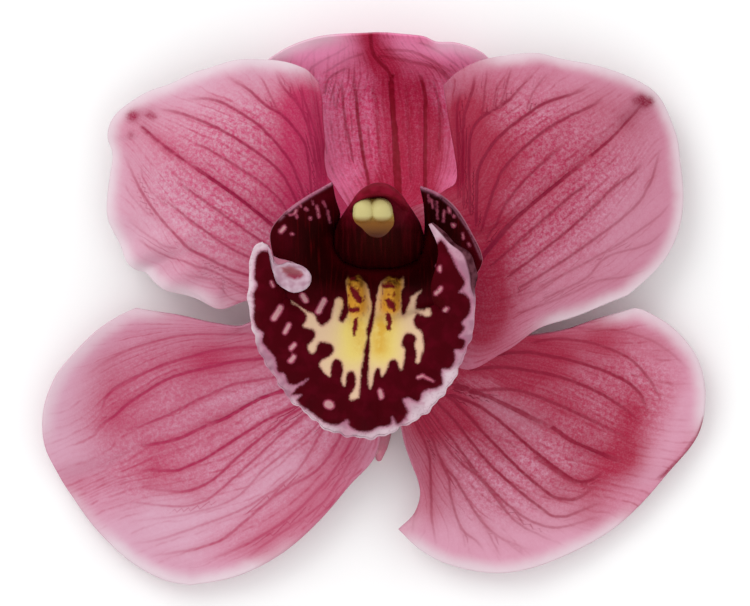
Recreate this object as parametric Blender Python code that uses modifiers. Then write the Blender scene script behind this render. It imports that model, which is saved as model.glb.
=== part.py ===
"""A cut cymbidium bloom lying on its back, face up.

Five tepals, the lip, the column with its anther cap, and the ovary with the short pedicel it was cut on.
Sizes and places are in millimetres and meshes in metres. +Z is up, out of the bloom's face, and +Y runs
from the lip to the dorsal sepal. The origin is on the surface the bloom lies on, under its middle.
"""

import bmesh
import bpy
import numpy as np

MM = 0.001

# Driving sizes
TEPAL_THICKNESS = 1.0
LIP_THICKNESS = 0.9
SEAT_GAP = 0.3
OVARY_RADIUS = 4.3
OVARY_CENTRE = (0.5, 9.0)
OVARY_TOP_Z = 12.6
SEPAL_BASE_Z = 10.1
PETAL_BASE_Z = 11.9
LIP_BASE_Z = 13.3
NEARER_SCALE = 0.985
TEPAL_ROWS = 18
TEPAL_COLUMNS = 14

# Each margin runs outwards from the base, which stands on the ovary's rim between two angles.
# side_a and side_b are the two long margins, tip joins their ends, and midrib runs to tip[apex].
PETAL_LEFT = {
    "base_angles": (118, 205),
    "side_a": [(-4.4, 16.6, 11.8), (-6.5, 19.6, 11.6), (-7.2, 24.0, 11.2), (-7.7, 29.0, 10.8), (-8.3, 34.3, 10.4),
               (-9.0, 37.5, 10.2)],
    "side_b": [(-12.0, 3.4, 12.0), (-20.8, 1.0, 11.4), (-25.2, -0.6, 10.4), (-28.5, 0.8, 9.4), (-36.2, 4.0, 7.6)],
    "tip": [(-9.0, 37.5, 10.2), (-11.5, 39.7, 10.2), (-17.4, 41.1, 10.0), (-24.0, 40.5, 9.6), (-30.3, 38.7, 9.0),
            (-37.2, 35.7, 7.8), (-42.4, 32.4, 6.6), (-44.5, 28.4, 6.0), (-43.6, 24.6, 6.0), (-44.3, 18.0, 6.0),
            (-43.6, 13.0, 6.4), (-40.2, 6.8, 7.0), (-36.2, 4.0, 7.6)],
    "apex": 6,
    "midrib": [(-16.8, 13.3, 14.4), (-22.7, 18.0, 14.8), (-31.7, 24.3, 13.2), (-38.2, 29.7, 9.6),
               (-42.4, 32.4, 6.6)],
}
PETAL_RIGHT = {
    "base_angles": (60, -30),
    "side_a": [(5.4, 15.8, 11.8), (10.4, 17.6, 11.6), (13.2, 20.6, 11.4), (12.9, 26.0, 11.0), (12.3, 31.5, 10.6),
               (11.7, 36.8, 10.4)],
    "side_b": [(6.8, 0.0, 12.0), (9.6, -6.0, 12.0), (15.2, -10.4, 11.6), (21.8, -7.7, 11.0), (27.0, -4.2, 10.2),
               (32.0, -2.2, 9.4), (42.5, 1.8, 8.0)],
    "tip": [(11.7, 36.8, 10.4), (14.0, 38.9, 10.4), (19.0, 41.2, 10.0), (26.7, 42.2, 9.4), (31.0, 41.4, 9.2),
            (38.2, 39.6, 8.6), (44.2, 37.6, 7.6), (47.9, 34.8, 6.8), (50.7, 29.0, 6.4), (51.2, 24.0, 6.4),
            (51.8, 18.0, 6.4), (50.8, 12.0, 6.8), (48.6, 7.4, 7.2), (42.5, 1.8, 8.0)],
    "apex": 7,
    "midrib": [(13.0, 11.0, 13.4), (21.8, 12.4, 14.6), (29.5, 19.3, 14.4), (38.5, 26.8, 12.0), (44.2, 32.3, 8.8),
               (47.9, 34.8, 6.8)],
}
DORSAL_SEPAL = {
    "base_angles": (150, 30),
    "side_a": [(-9.0, 19.5, 7.6), (-15.5, 29.5, 6.0), (-18.6, 36.5, 6.4), (-17.8, 41.0, 7.4)],
    "side_b": [(14.0, 18.5, 7.6), (19.2, 28.0, 6.2), (21.4, 35.0, 6.0), (20.8, 39.0, 6.6)],
    "tip": [(-17.8, 41.0, 7.4), (-13.8, 43.3, 8.4), (-9.8, 44.5, 10.6), (-5.0, 45.4, 13.2), (-0.8, 45.3, 15.0),
            (3.6, 45.2, 14.2), (8.2, 44.6, 12.4), (10.4, 43.8, 11.2), (14.0, 43.9, 9.4), (18.6, 42.1, 7.4),
            (20.8, 39.0, 6.6)],
    "apex": 4,
    "midrib": [(4.4, 19.5, 4.8), (4.0, 25.0, 1.8), (3.6, 30.0, 0.9), (3.2, 35.0, 2.0), (2.7, 39.7, 5.6),
               (0.4, 43.2, 10.6), (-0.8, 45.3, 15.0)],
}
LATERAL_SEPAL_LEFT = {
    "base_angles": (192, 258),
    "side_a": [(-13.0, 1.5, 8.8), (-20.8, -3.5, 7.4), (-25.8, -3.0, 7.0), (-33.5, -1.3, 6.6), (-39.6, -0.3, 6.4)],
    "side_b": [(-0.6, -8.0, 8.6), (1.3, -18.0, 7.6), (0.3, -25.0, 7.2), (-4.3, -30.3, 6.6), (-10.4, -37.4, 6.0),
               (-15.4, -41.5, 5.6), (-22.2, -45.0, 5.2), (-30.6, -46.7, 5.0)],
    "tip": [(-39.6, -0.3, 6.4), (-42.2, -1.5, 6.2), (-46.2, -4.2, 6.0), (-50.4, -8.4, 5.6), (-53.4, -12.4, 5.4),
            (-55.3, -17.8, 5.0), (-54.8, -23.9, 4.4), (-51.2, -30.3, 3.6), (-46.9, -36.7, 3.8), (-42.6, -41.2, 4.2),
            (-38.8, -44.0, 4.4), (-34.6, -46.0, 4.8), (-30.6, -46.7, 5.0)],
    "apex": 7,
    "midrib": [(-6.5, -5.0, 7.4), (-14.7, -13.6, 4.2), (-20.3, -16.2, 2.4), (-26.3, -18.9, 1.1), (-34.0, -22.4, 0.6),
               (-42.0, -26.0, 1.2), (-51.2, -30.3, 3.6)],
}
LATERAL_SEPAL_RIGHT = {
    "base_angles": (-15, -78),
    "side_a": [(13.0, -0.5, 8.6), (22.0, -4.4, 7.8), (27.3, -4.8, 7.4), (38.2, -1.9, 6.6), (43.7, -0.3, 6.4)],
    "side_b": [(0.9, -6.0, 9.2), (2.4, -14.0, 8.2), (4.9, -20.4, 7.4), (6.5, -25.8, 6.8), (7.9, -31.0, 6.2),
               (6.9, -34.6, 6.0), (4.2, -37.3, 6.0)],
    "tip": [(43.7, -0.3, 6.4), (45.5, -0.8, 6.4), (50.2, -3.7, 6.0), (53.7, -7.6, 5.6), (55.3, -11.8, 5.2),
            (55.6, -17.0, 4.6), (54.2, -22.0, 4.0), (50.1, -27.3, 3.6), (43.8, -34.3, 3.8), (38.6, -38.3, 4.2),
            (32.4, -41.7, 4.4), (25.0, -44.3, 4.8), (19.4, -44.6, 5.0), (12.6, -43.2, 5.4), (7.8, -40.7, 5.8),
            (4.2, -37.3, 6.0)],
    "apex": 7,
    "midrib": [(7.4, -2.6, 8.2), (13.2, -11.2, 5.2), (20.3, -16.2, 2.3), (25.8, -18.7, 1.1), (33.0, -22.6, 0.6),
               (41.3, -25.8, 2.2), (50.1, -27.3, 3.6)],
}

# The lip and the column are placed as they look beside the tepals, and NEARER_SCALE brings them in, since they
# stand 20 mm nearer to the viewer. The lip's back edge runs down one side lobe's inner margin to the claw and
# up the other's. Its front edge is the fold between throat and midlobe, from the left notch to the right one.
LOBE_TIP_LEFT = (-6.8, 20.6, 29.0)
LOBE_TIP_RIGHT = (7.9, 19.9, 29.0)
NOTCH_LEFT = (-14.8, 1.4, 27.3)
NOTCH_RIGHT = (10.6, 0.2, 26.2)
LIP_BACK = [LOBE_TIP_LEFT, (-6.0, 17.8, 27.4), (-6.3, 15.0, 24.6), (-7.8, 11.5, 20.4), (-7.1, 7.4, 16.8),
            (-3.6, 5.7, 14.2), (0.5, 6.0, LIP_BASE_Z), (4.6, 5.6, 14.2), (8.5, 7.2, 17.2), (9.4, 12.0, 22.0),
            (8.9, 16.6, 26.4), LOBE_TIP_RIGHT]
LIP_LEFT = [LOBE_TIP_LEFT, (-11.8, 17.7, 30.2), (-15.0, 15.2, 30.6), (-17.0, 12.4, 30.4), (-16.8, 9.2, 29.6),
            (-15.6, 5.6, 28.2), NOTCH_LEFT]
LIP_RIGHT = [LOBE_TIP_RIGHT, (10.8, 18.7, 29.8), (13.7, 16.3, 30.2), (16.2, 12.4, 29.8), (18.2, 8.0, 28.4),
             (17.4, 5.6, 27.2), (14.6, 2.8, 26.0), NOTCH_RIGHT]
LIP_FRONT = [NOTCH_LEFT, (-9.5, -2.0, 25.6), (-4.5, -2.7, 23.8), (0.5, -2.8, 23.2), (5.4, -2.2, 24.3),
             NOTCH_RIGHT]
EAR_LEFT = [(-17.4, 10.1, 32.2), (-17.1, 8.0, 31.7), (-16.9, 6.2, 30.9), (-16.3, 4.6, 29.8), (-15.3, 3.2, 28.5),
            NOTCH_LEFT]
EAR_RIGHT = [NOTCH_RIGHT, (9.9, 3.2, 28.6), (10.5, 6.4, 30.6), (10.8, 9.8, 32.0), (9.3, 13.6, 32.8)]
MIDLOBE_MARGIN = [(-18.2, 10.5, 32.3), (-19.5, 9.8, 32.0), (-20.2, 8.0, 31.4), (-20.4, 4.4, 30.4),
                  (-20.4, -0.6, 29.0), (-19.3, -6.0, 27.0), (-16.2, -12.0, 25.0), (-11.9, -17.2, 22.6),
                  (-6.6, -20.9, 21.0), (-1.6, -22.0, 20.4), (4.0, -20.6, 21.2), (10.6, -16.0, 23.8),
                  (13.9, -11.0, 25.8), (16.2, -6.0, 27.6), (17.1, -1.4, 29.0), (16.8, 2.8, 30.2),
                  (14.9, 8.2, 31.6), (12.2, 10.8, 32.4), (9.7, 13.7, 33.0)]
# Where the notches' ends fall along the midlobe's margin, as fractions of its length
MARGIN_AT_NOTCHES = (0.16, 0.78)
LIP_THROAT_ROWS = 9
LIP_MIDLOBE_ROWS = 8
LIP_THROAT_COLUMNS = 28
LIP_EAR_COLUMNS = 5
MIDLOBE_DOME = 2.2
DOME_FADE_Y = 8.0
MIDLOBE_GROOVE = 1.2
GROOVE_X = 0.3
GROOVE_WIDTH = 1.6
FRILL_COUNT = 15
FRILL_HEIGHT = 0.7
KEEL_X = (-2.7, 2.9)
KEEL_Y = (-2.4, 3.4)
KEEL_HEIGHT = 1.7
KEEL_WIDTH = 1.1
KEEL_RISE = 2.0
KEEL_FALL = 1.5

# The column's cross-sections: centre y and z, half its breadth, half its depth, lean towards +Y in degrees.
# The step after the ninth is the shelf that the anther cap sits on. The hood behind it bends round the cap.
COLUMN_X = 0.6
COLUMN_SECTIONS = [
    (9.4, 12.9, 3.2, 2.4, 0), (9.4, 14.4, 4.4, 2.9, 0), (9.3, 16.8, 6.0, 3.2, 8), (9.8, 19.4, 7.3, 3.4, 20),
    (11.0, 22.2, 7.7, 3.5, 27), (12.8, 25.6, 7.1, 3.5, 28), (14.4, 28.8, 6.0, 3.4, 24), (15.6, 31.4, 5.0, 3.3, 14),
    (16.1, 32.8, 4.5, 3.2, 5), (19.2, 33.3, 4.3, 1.3, 0), (19.6, 35.2, 3.7, 1.1, 0), (19.5, 36.8, 2.6, 0.9, 0),
    (19.2, 37.7, 1.2, 0.5, 0),
]
COLUMN_SIDES = 20
COLUMN_SQUARENESS = 0.75
HOOD_FIRST_SECTION = 9
HOOD_BEND = 2.2
HOOD_HALF_WIDTH = 4.3

CAP_CENTRE = (-0.1, 14.7, 35.3)
CAP_HALF_SIZE = (3.5, 2.9, 1.9)
CAP_GROOVE = 0.5
CAP_GROOVE_WIDTH = 0.7

# The pedicel's path from its cut end to the ovary's rim, with the radius at each place. It lies along the
# surface on a narrow flat, so its lowest points are brought up to z = 0. The ovary, with its shallow ribs, is
# the last part of the path from OVARY_START, a fraction of the length.
PEDICEL_PATH = [
    (1.0, -25.7, 0.45, 0.5), (1.0, -25.3, 0.85, 0.9), (1.1, -24.4, 1.1, 1.15), (1.6, -21.0, 1.45, 1.6),
    (1.5, -15.0, 1.7, 1.85), (1.0, -9.0, 1.85, 2.0), (0.6, -3.0, 2.2, 2.2), (0.5, 2.0, 3.3, 2.5),
    (0.5, 6.0, 5.2, 2.8), (0.5, 8.4, 7.6, 3.2), (0.5, 9.0, 9.2, 3.8), (0.5, 9.0, 10.6, 4.2),
    (0.5, 9.0, OVARY_TOP_Z, OVARY_RADIUS),
]
PEDICEL_SIDES = 18
PEDICEL_RINGS = 22
OVARY_RIBS = 6
OVARY_RIB_HEIGHT = 0.05
OVARY_START = 0.38

# Colour, roughness and metallic value of each piece
FINISHES = {
    "petal_left": ((0.63, 0.25, 0.36), 0.5, 0.0),
    "petal_right": ((0.50, 0.12, 0.20), 0.5, 0.0),
    "dorsal_sepal": ((0.48, 0.08, 0.15), 0.5, 0.0),
    "lateral_sepal_left": ((0.56, 0.19, 0.29), 0.5, 0.0),
    "lateral_sepal_right": ((0.48, 0.12, 0.19), 0.5, 0.0),
    "lip": ((0.08, 0.003, 0.01), 0.4, 0.0),
    "column": ((0.12, 0.006, 0.012), 0.35, 0.0),
    "anther_cap": ((0.64, 0.60, 0.28), 0.4, 0.0),
    "pedicel": ((0.40, 0.18, 0.14), 0.55, 0.0),
}


class Curve:
    """A smooth curve through hand-placed points, read by the fraction of its length.

    With halfway given, the point of that index is at fraction 0.5."""

    STEPS = 12

    def __init__(self, points, halfway=None):
        knots = np.array(points, float)
        gaps = np.linalg.norm(np.diff(knots, axis=0), axis=1)[:, None]
        slopes = np.empty_like(knots)
        slopes[0] = (knots[1] - knots[0]) / gaps[0]
        slopes[-1] = (knots[-1] - knots[-2]) / gaps[-1]
        slopes[1:-1] = (knots[2:] - knots[:-2]) / (gaps[1:] + gaps[:-1])
        u = np.linspace(0.0, 1.0, self.STEPS, endpoint=False)[:, None]
        spans = [
            (2 * u**3 - 3 * u**2 + 1) * knots[i]
            + (u**3 - 2 * u**2 + u) * gaps[i] * slopes[i]
            + (3 * u**2 - 2 * u**3) * knots[i + 1]
            + (u**3 - u**2) * gaps[i] * slopes[i + 1]
            for i in range(len(knots) - 1)
        ]
        self.points = np.vstack([*spans, knots[-1:]])
        run = np.concatenate([[0.0], np.cumsum(np.linalg.norm(np.diff(self.points, axis=0), axis=1))])
        if halfway is None:
            self.fraction = run / run[-1]
        else:
            self.fraction = np.interp(run, (0, run[halfway * self.STEPS], run[-1]), (0, 0.5, 1))

    def at(self, fraction):
        return np.stack([np.interp(fraction, self.fraction, axis) for axis in self.points.T], axis=-1)


def rim_arc(angles, z):
    """The line along which a tepal stands on the ovary's rim."""
    turn = np.radians(np.linspace(*angles, 5))
    reach = OVARY_RADIUS + SEAT_GAP
    x = OVARY_CENTRE[0] + reach * np.cos(turn)
    y = OVARY_CENTRE[1] + reach * np.sin(turn)
    return [tuple(p) for p in np.stack([x, y, np.full_like(x, z)], axis=-1)]


def four_sided(base, side_a, side_b, tip):
    """A surface between four curves: s runs from base to tip, t from side_a to side_b."""

    def place(s, t):
        s1 = s[:, None]
        t1 = t[:, None]
        corners = (
            (1 - s1) * (1 - t1) * base.at(0.0)
            + (1 - s1) * t1 * base.at(1.0)
            + s1 * (1 - t1) * tip.at(0.0)
            + s1 * t1 * tip.at(1.0)
        )
        across = (1 - t1) * side_a.at(s) + t1 * side_b.at(s)
        along = (1 - s1) * base.at(t) + s1 * tip.at(t)
        return across + along - corners

    return place


def tepal_surface(shape, base_z):
    """A tepal's middle surface: four margins, drawn onto its midrib."""
    rim = rim_arc(shape["base_angles"], base_z)
    base = Curve(rim)
    side_a = Curve([rim[0], *shape["side_a"]])
    side_b = Curve([rim[-1], *shape["side_b"]])
    tip = Curve(shape["tip"], halfway=shape["apex"])
    midrib = Curve([rim[2], *shape["midrib"]])
    margins = four_sided(base, side_a, side_b, tip)

    def place(s, t):
        pull = (4 * t * (1 - t))[:, None]
        return margins(s, t) + pull * (midrib.at(s) - margins(s, np.full_like(s, 0.5)))

    return place


def nearer(points):
    return points * (NEARER_SCALE, NEARER_SCALE, 1.0)


def throat_surface():
    """The throat and the side lobes: s runs from the back edge to the fold, t from left to right."""
    sheet = four_sided(Curve(LIP_BACK, halfway=6), Curve(LIP_LEFT), Curve(LIP_RIGHT), Curve(LIP_FRONT, halfway=3))

    def place(s, t):
        points = sheet(s, t)
        points[:, 2] += keel_height(points[:, 0], points[:, 1])
        return nearer(points)

    return place


def keel_height(x, y):
    """Two low ridges side by side on the throat's floor."""
    rise = np.clip((y - KEEL_Y[0]) / KEEL_RISE, 0, 1)
    fall = np.clip((KEEL_Y[1] + KEEL_FALL - y) / KEEL_FALL, 0, 1)
    return KEEL_HEIGHT * rise * fall * sum(np.exp(-(((x - keel) / KEEL_WIDTH) ** 2)) for keel in KEEL_X)


def midlobe_surface(t_notches):
    """The midlobe and its two ears: s runs from its inner edge to its frilled margin, t from ear to ear."""
    ear_left = Curve(EAR_LEFT)
    ear_right = Curve(EAR_RIGHT)
    front = Curve(LIP_FRONT, halfway=3)
    margin = Curve(MIDLOBE_MARGIN)
    left_end, right_end = t_notches

    def place(s, t):
        inner = front.at(np.interp(t, t_notches, (0, 1)))
        inner = np.where((t < left_end)[:, None], ear_left.at(t / left_end), inner)
        inner = np.where((t > right_end)[:, None], ear_right.at((t - right_end) / (1 - right_end)), inner)
        outer = margin.at(np.interp(t, (0, left_end, right_end, 1), (0, *MARGIN_AT_NOTCHES, 1)))
        s1 = s[:, None]
        points = (1 - s1) * inner + s1 * outer
        x, y = points[:, 0], points[:, 1]
        front_part = np.clip((DOME_FADE_Y - y) / DOME_FADE_Y, 0, 1)
        points[:, 2] += MIDLOBE_DOME * np.sin(np.pi * s) * front_part
        points[:, 2] -= MIDLOBE_GROOVE * s * np.exp(-(((x - GROOVE_X) / GROOVE_WIDTH) ** 2))
        points[:, 2] += FRILL_HEIGHT * s**4 * np.sin(2 * np.pi * FRILL_COUNT * t) * np.sin(np.pi * t) ** 0.5
        return nearer(points)

    return place


def grid_mesh(rows, columns, place):
    """Blender's own grid, with each point moved to place(s, t)."""
    bm = bmesh.new()
    bmesh.ops.create_grid(bm, x_segments=rows, y_segments=columns, size=0.5)
    cells = np.array([v.co for v in bm.verts])
    points = place(cells[:, 0] + 0.5, cells[:, 1] + 0.5) * MM
    for vert, point in zip(bm.verts, points):
        vert.co = point
    return bm


def finish(name, bm, collection, thickness=None):
    """Turn a bmesh into a named object with its material, and give an open sheet its thickness."""
    bmesh.ops.triangulate(bm, faces=bm.faces)
    bmesh.ops.recalc_face_normals(bm, faces=bm.faces)
    mesh = bpy.data.meshes.new(name)
    bm.to_mesh(mesh)
    bm.free()
    mesh.shade_smooth()
    colour, roughness, metallic = FINISHES[name]
    material = bpy.data.materials.new(name)
    material.use_nodes = True
    shader = material.node_tree.nodes["Principled BSDF"]
    shader.inputs["Base Color"].default_value = (*colour, 1.0)
    shader.inputs["Roughness"].default_value = roughness
    shader.inputs["Metallic"].default_value = metallic
    mesh.materials.append(material)
    piece = bpy.data.objects.new(name, mesh)
    collection.objects.link(piece)
    if thickness:
        shell = piece.modifiers.new("thickness", "SOLIDIFY")
        shell.thickness = thickness * MM
        shell.offset = 0.0
    return piece


def tube_mesh(rings, sides, place):
    """A grid rolled into a tube, with its seam welded and both ends closed."""
    bm = grid_mesh(rings, sides, place)
    bmesh.ops.remove_doubles(bm, verts=bm.verts, dist=0.00001)
    bmesh.ops.holes_fill(bm, edges=[edge for edge in bm.edges if edge.is_boundary], sides=sides)
    return bm


def add_tepal(name, shape, base_z, collection):
    surface = grid_mesh(TEPAL_ROWS, TEPAL_COLUMNS, tepal_surface(shape, base_z))
    return finish(name, surface, collection, TEPAL_THICKNESS)


def add_lip(collection):
    """Throat, side lobes and midlobe as one sheet, welded along the fold, then thickened."""
    columns = LIP_THROAT_COLUMNS + 2 * LIP_EAR_COLUMNS
    t_notches = (LIP_EAR_COLUMNS / columns, 1 - LIP_EAR_COLUMNS / columns)
    bm = grid_mesh(LIP_THROAT_ROWS, LIP_THROAT_COLUMNS, throat_surface())
    midlobe = grid_mesh(LIP_MIDLOBE_ROWS, columns, midlobe_surface(t_notches))
    sheet = bpy.data.meshes.new("midlobe")
    midlobe.to_mesh(sheet)
    midlobe.free()
    bm.from_mesh(sheet)
    bpy.data.meshes.remove(sheet)
    bmesh.ops.remove_doubles(bm, verts=bm.verts, dist=0.00002)
    return finish("lip", bm, collection, LIP_THICKNESS)


def add_column(collection):
    sections = np.array(COLUMN_SECTIONS)
    steps = len(sections) - 1

    def rounded_square(wave):
        return np.sign(wave) * np.abs(wave) ** COLUMN_SQUARENESS

    def place(s, t):
        turn = 2 * np.pi * t
        y, z, breadth, depth, lean = (np.interp(s * steps, range(steps + 1), values) for values in sections.T)
        lean = np.radians(lean)
        out = depth * rounded_square(np.sin(turn))
        across = breadth * rounded_square(np.cos(turn))
        hood = np.clip(s * steps - HOOD_FIRST_SECTION + 1, 0, 1)
        y = y + out * np.cos(lean) - hood * HOOD_BEND * (across / HOOD_HALF_WIDTH) ** 2
        return nearer(np.stack([COLUMN_X + across, y, z - out * np.sin(lean)], axis=-1))

    bm = tube_mesh(steps, COLUMN_SIDES, place)
    return finish("column", bm, collection)


def add_anther_cap(collection):
    """A small ellipsoid with a groove down its face, which makes its two lobes."""
    bm = bmesh.new()
    bmesh.ops.create_uvsphere(bm, u_segments=18, v_segments=12, radius=1.0)
    for vert in bm.verts:
        x, y, z = vert.co
        groove = CAP_GROOVE * np.exp(-((x * CAP_HALF_SIZE[0] / CAP_GROOVE_WIDTH) ** 2)) * max(z, 0)
        size = (CAP_HALF_SIZE[0] * x, CAP_HALF_SIZE[1] * y, CAP_HALF_SIZE[2] * z - groove)
        vert.co = [(centre + part) * MM for centre, part in zip(CAP_CENTRE, size)]
    return finish("anther_cap", bm, collection)


def add_pedicel(collection):
    """The pedicel lies along the surface and bends up into the ribbed ovary."""
    path = Curve([knot[:3] for knot in PEDICEL_PATH])
    knots = np.linspace(0, len(path.points) - 1, len(PEDICEL_PATH)).astype(int)
    at_knots = path.fraction[knots]
    radii = [knot[3] for knot in PEDICEL_PATH]

    def place(s, t):
        centre = path.at(s)
        ahead = path.at(np.clip(s + 0.01, 0, 1)) - path.at(np.clip(s - 0.01, 0, 1))
        ahead /= np.linalg.norm(ahead, axis=1)[:, None]
        side = np.tile([1.0, 0.0, 0.0], (len(s), 1))
        up = np.cross(side, ahead)
        turn = 2 * np.pi * t
        ribbed = np.sin(np.pi * np.clip((s - OVARY_START) / (1 - OVARY_START), 0, 1))
        rib = 1 + OVARY_RIB_HEIGHT * np.cos(OVARY_RIBS * turn) * ribbed
        radius = (np.interp(s, at_knots, radii) * rib)[:, None]
        points = centre + radius * (np.cos(turn)[:, None] * side + np.sin(turn)[:, None] * up)
        points[:, 2] = np.maximum(points[:, 2], 0.0)
        return points

    return finish("pedicel", tube_mesh(PEDICEL_RINGS, PEDICEL_SIDES, place), collection)


def main():
    for leftover in list(bpy.data.objects):
        bpy.data.objects.remove(leftover)
    bloom = bpy.data.collections.new("cymbidium_bloom")
    bpy.context.scene.collection.children.link(bloom)
    add_tepal("dorsal_sepal", DORSAL_SEPAL, SEPAL_BASE_Z, bloom)
    add_tepal("lateral_sepal_left", LATERAL_SEPAL_LEFT, SEPAL_BASE_Z, bloom)
    add_tepal("lateral_sepal_right", LATERAL_SEPAL_RIGHT, SEPAL_BASE_Z, bloom)
    add_tepal("petal_left", PETAL_LEFT, PETAL_BASE_Z, bloom)
    add_tepal("petal_right", PETAL_RIGHT, PETAL_BASE_Z, bloom)
    add_lip(bloom)
    add_column(bloom)
    add_anther_cap(bloom)
    add_pedicel(bloom)


main()
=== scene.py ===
"""The looks of a cut cymbidium bloom that lies face up on a pale surface.

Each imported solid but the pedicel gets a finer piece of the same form: the petals and sepals with their
folds, waves and veins, the lip with its markings, the hooded column and the cap. Places are in millimetres,
seen from above, with +Y towards the dorsal sepal and +Z towards the viewer.
"""

import bpy
import numpy as np
from bpy.props import FloatProperty, FloatVectorProperty, IntProperty, PointerProperty
from bpy.types import Operator, Panel, PropertyGroup
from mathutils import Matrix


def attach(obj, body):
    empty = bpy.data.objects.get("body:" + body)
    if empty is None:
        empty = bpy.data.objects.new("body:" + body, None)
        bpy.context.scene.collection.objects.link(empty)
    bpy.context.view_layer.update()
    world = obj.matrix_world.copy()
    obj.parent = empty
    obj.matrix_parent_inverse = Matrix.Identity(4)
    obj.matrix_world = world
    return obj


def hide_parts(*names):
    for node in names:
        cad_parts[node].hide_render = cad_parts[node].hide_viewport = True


bl_info = {
    "name": "Cymbidium Bloom",
    "version": (1, 0, 0),
    "blender": (4, 5, 0),
    "location": "3D View > Sidebar > Bloom",
    "description": "Builds the petals, lip and column of a cut cymbidium bloom",
    "category": "Object",
}

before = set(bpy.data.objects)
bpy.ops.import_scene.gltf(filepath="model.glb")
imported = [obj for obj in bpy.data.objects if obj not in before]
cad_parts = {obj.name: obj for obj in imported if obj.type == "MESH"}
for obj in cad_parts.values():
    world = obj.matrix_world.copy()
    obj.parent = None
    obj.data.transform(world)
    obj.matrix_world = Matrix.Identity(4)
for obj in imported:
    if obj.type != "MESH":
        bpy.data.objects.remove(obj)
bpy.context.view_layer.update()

MM = 0.001

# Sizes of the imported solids, which the finer pieces keep
SEAT_GAP = 0.3
OVARY_RADIUS = 4.3
OVARY_CENTRE = (0.5, 9.0)
SEPAL_BASE_Z = 10.1
PETAL_BASE_Z = 11.9
LIP_BASE_Z = 13.3
NEARER_SCALE = 0.985
# The colours and veins are drawn as they look from the viewer's height on a level over the surface
DRAWN_DISTANCE = 1200.0
DRAWN_LEVEL = 10.0

# Each margin runs outwards from the base, which stands on the ovary's rim between two angles.
# side_a and side_b are the two long margins, tip joins their ends, and midrib runs to tip[apex].
PETAL_LEFT = {
    "base_angles": (118, 205),
    "side_a": [(-4.4, 16.6, 11.8), (-6.5, 19.6, 11.6), (-7.2, 24.0, 11.2), (-7.7, 29.0, 10.8),
               (-8.3, 34.3, 10.4), (-9.0, 37.5, 10.2)],
    "side_b": [(-12.0, 3.4, 12.0), (-20.8, 1.0, 11.4), (-25.2, -0.6, 10.4), (-28.5, 0.8, 9.4),
               (-36.2, 4.0, 7.6)],
    "tip": [(-9.0, 37.5, 10.2), (-11.5, 39.7, 10.2), (-17.4, 41.1, 10.0), (-24.0, 40.5, 9.6),
            (-30.3, 38.7, 9.0), (-37.2, 35.7, 7.8), (-42.4, 32.4, 6.6), (-44.5, 28.4, 6.0),
            (-43.6, 24.6, 6.0), (-44.3, 18.0, 6.0), (-43.6, 13.0, 6.4), (-40.2, 6.8, 7.0),
            (-36.2, 4.0, 7.6)],
    "apex": 6,
    "midrib": [(-16.8, 13.3, 14.4), (-22.7, 18.0, 14.8), (-31.7, 24.3, 13.2), (-38.2, 29.7, 9.6),
               (-42.4, 32.4, 6.6)],
}
PETAL_RIGHT = {
    "base_angles": (60, -30),
    "side_a": [(5.4, 15.8, 11.8), (10.4, 17.6, 11.6), (13.2, 20.6, 11.4), (12.9, 26.0, 11.0),
               (12.3, 31.5, 10.6), (11.7, 36.8, 10.4)],
    "side_b": [(6.8, 0.0, 12.0), (9.6, -6.0, 12.0), (15.2, -10.4, 11.6), (21.8, -7.7, 11.0),
               (27.0, -4.2, 10.2), (32.0, -2.2, 9.4), (42.5, 1.8, 8.0)],
    "tip": [(11.7, 36.8, 10.4), (14.0, 38.9, 10.4), (19.0, 41.2, 10.0), (26.7, 42.2, 9.4),
            (31.0, 41.4, 9.2), (38.2, 39.6, 8.6), (44.2, 37.6, 7.6), (47.9, 34.8, 6.8), (50.7, 29.0, 6.4),
            (51.2, 24.0, 6.4), (51.8, 18.0, 6.4), (50.8, 12.0, 6.8), (48.6, 7.4, 7.2), (42.5, 1.8, 8.0)],
    "apex": 7,
    "midrib": [(13.0, 11.0, 13.4), (21.8, 12.4, 14.6), (29.5, 19.3, 14.4), (38.5, 26.8, 12.0),
               (44.2, 32.3, 8.8), (47.9, 34.8, 6.8)],
}
DORSAL_SEPAL = {
    "base_angles": (150, 30),
    "side_a": [(-9.0, 19.5, 7.6), (-15.5, 29.5, 6.0), (-18.6, 36.5, 6.4), (-17.8, 41.0, 7.4)],
    "side_b": [(14.0, 18.5, 7.6), (19.2, 28.0, 6.2), (21.4, 35.0, 6.0), (20.8, 39.0, 6.6)],
    "tip": [(-17.8, 41.0, 7.4), (-13.8, 43.3, 8.4), (-9.8, 44.5, 10.6), (-5.0, 45.4, 13.2),
            (-0.8, 45.3, 15.0), (3.6, 45.2, 14.2), (8.2, 44.6, 12.4), (10.4, 43.8, 11.2), (14.0, 43.9, 9.4),
            (18.6, 42.1, 7.4), (20.8, 39.0, 6.6)],
    "apex": 4,
    "midrib": [(4.4, 19.5, 4.8), (4.0, 25.0, 1.8), (3.6, 30.0, 0.9), (3.2, 35.0, 2.0), (2.7, 39.7, 5.6),
               (0.4, 43.2, 10.6), (-0.8, 45.3, 15.0)],
}
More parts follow.
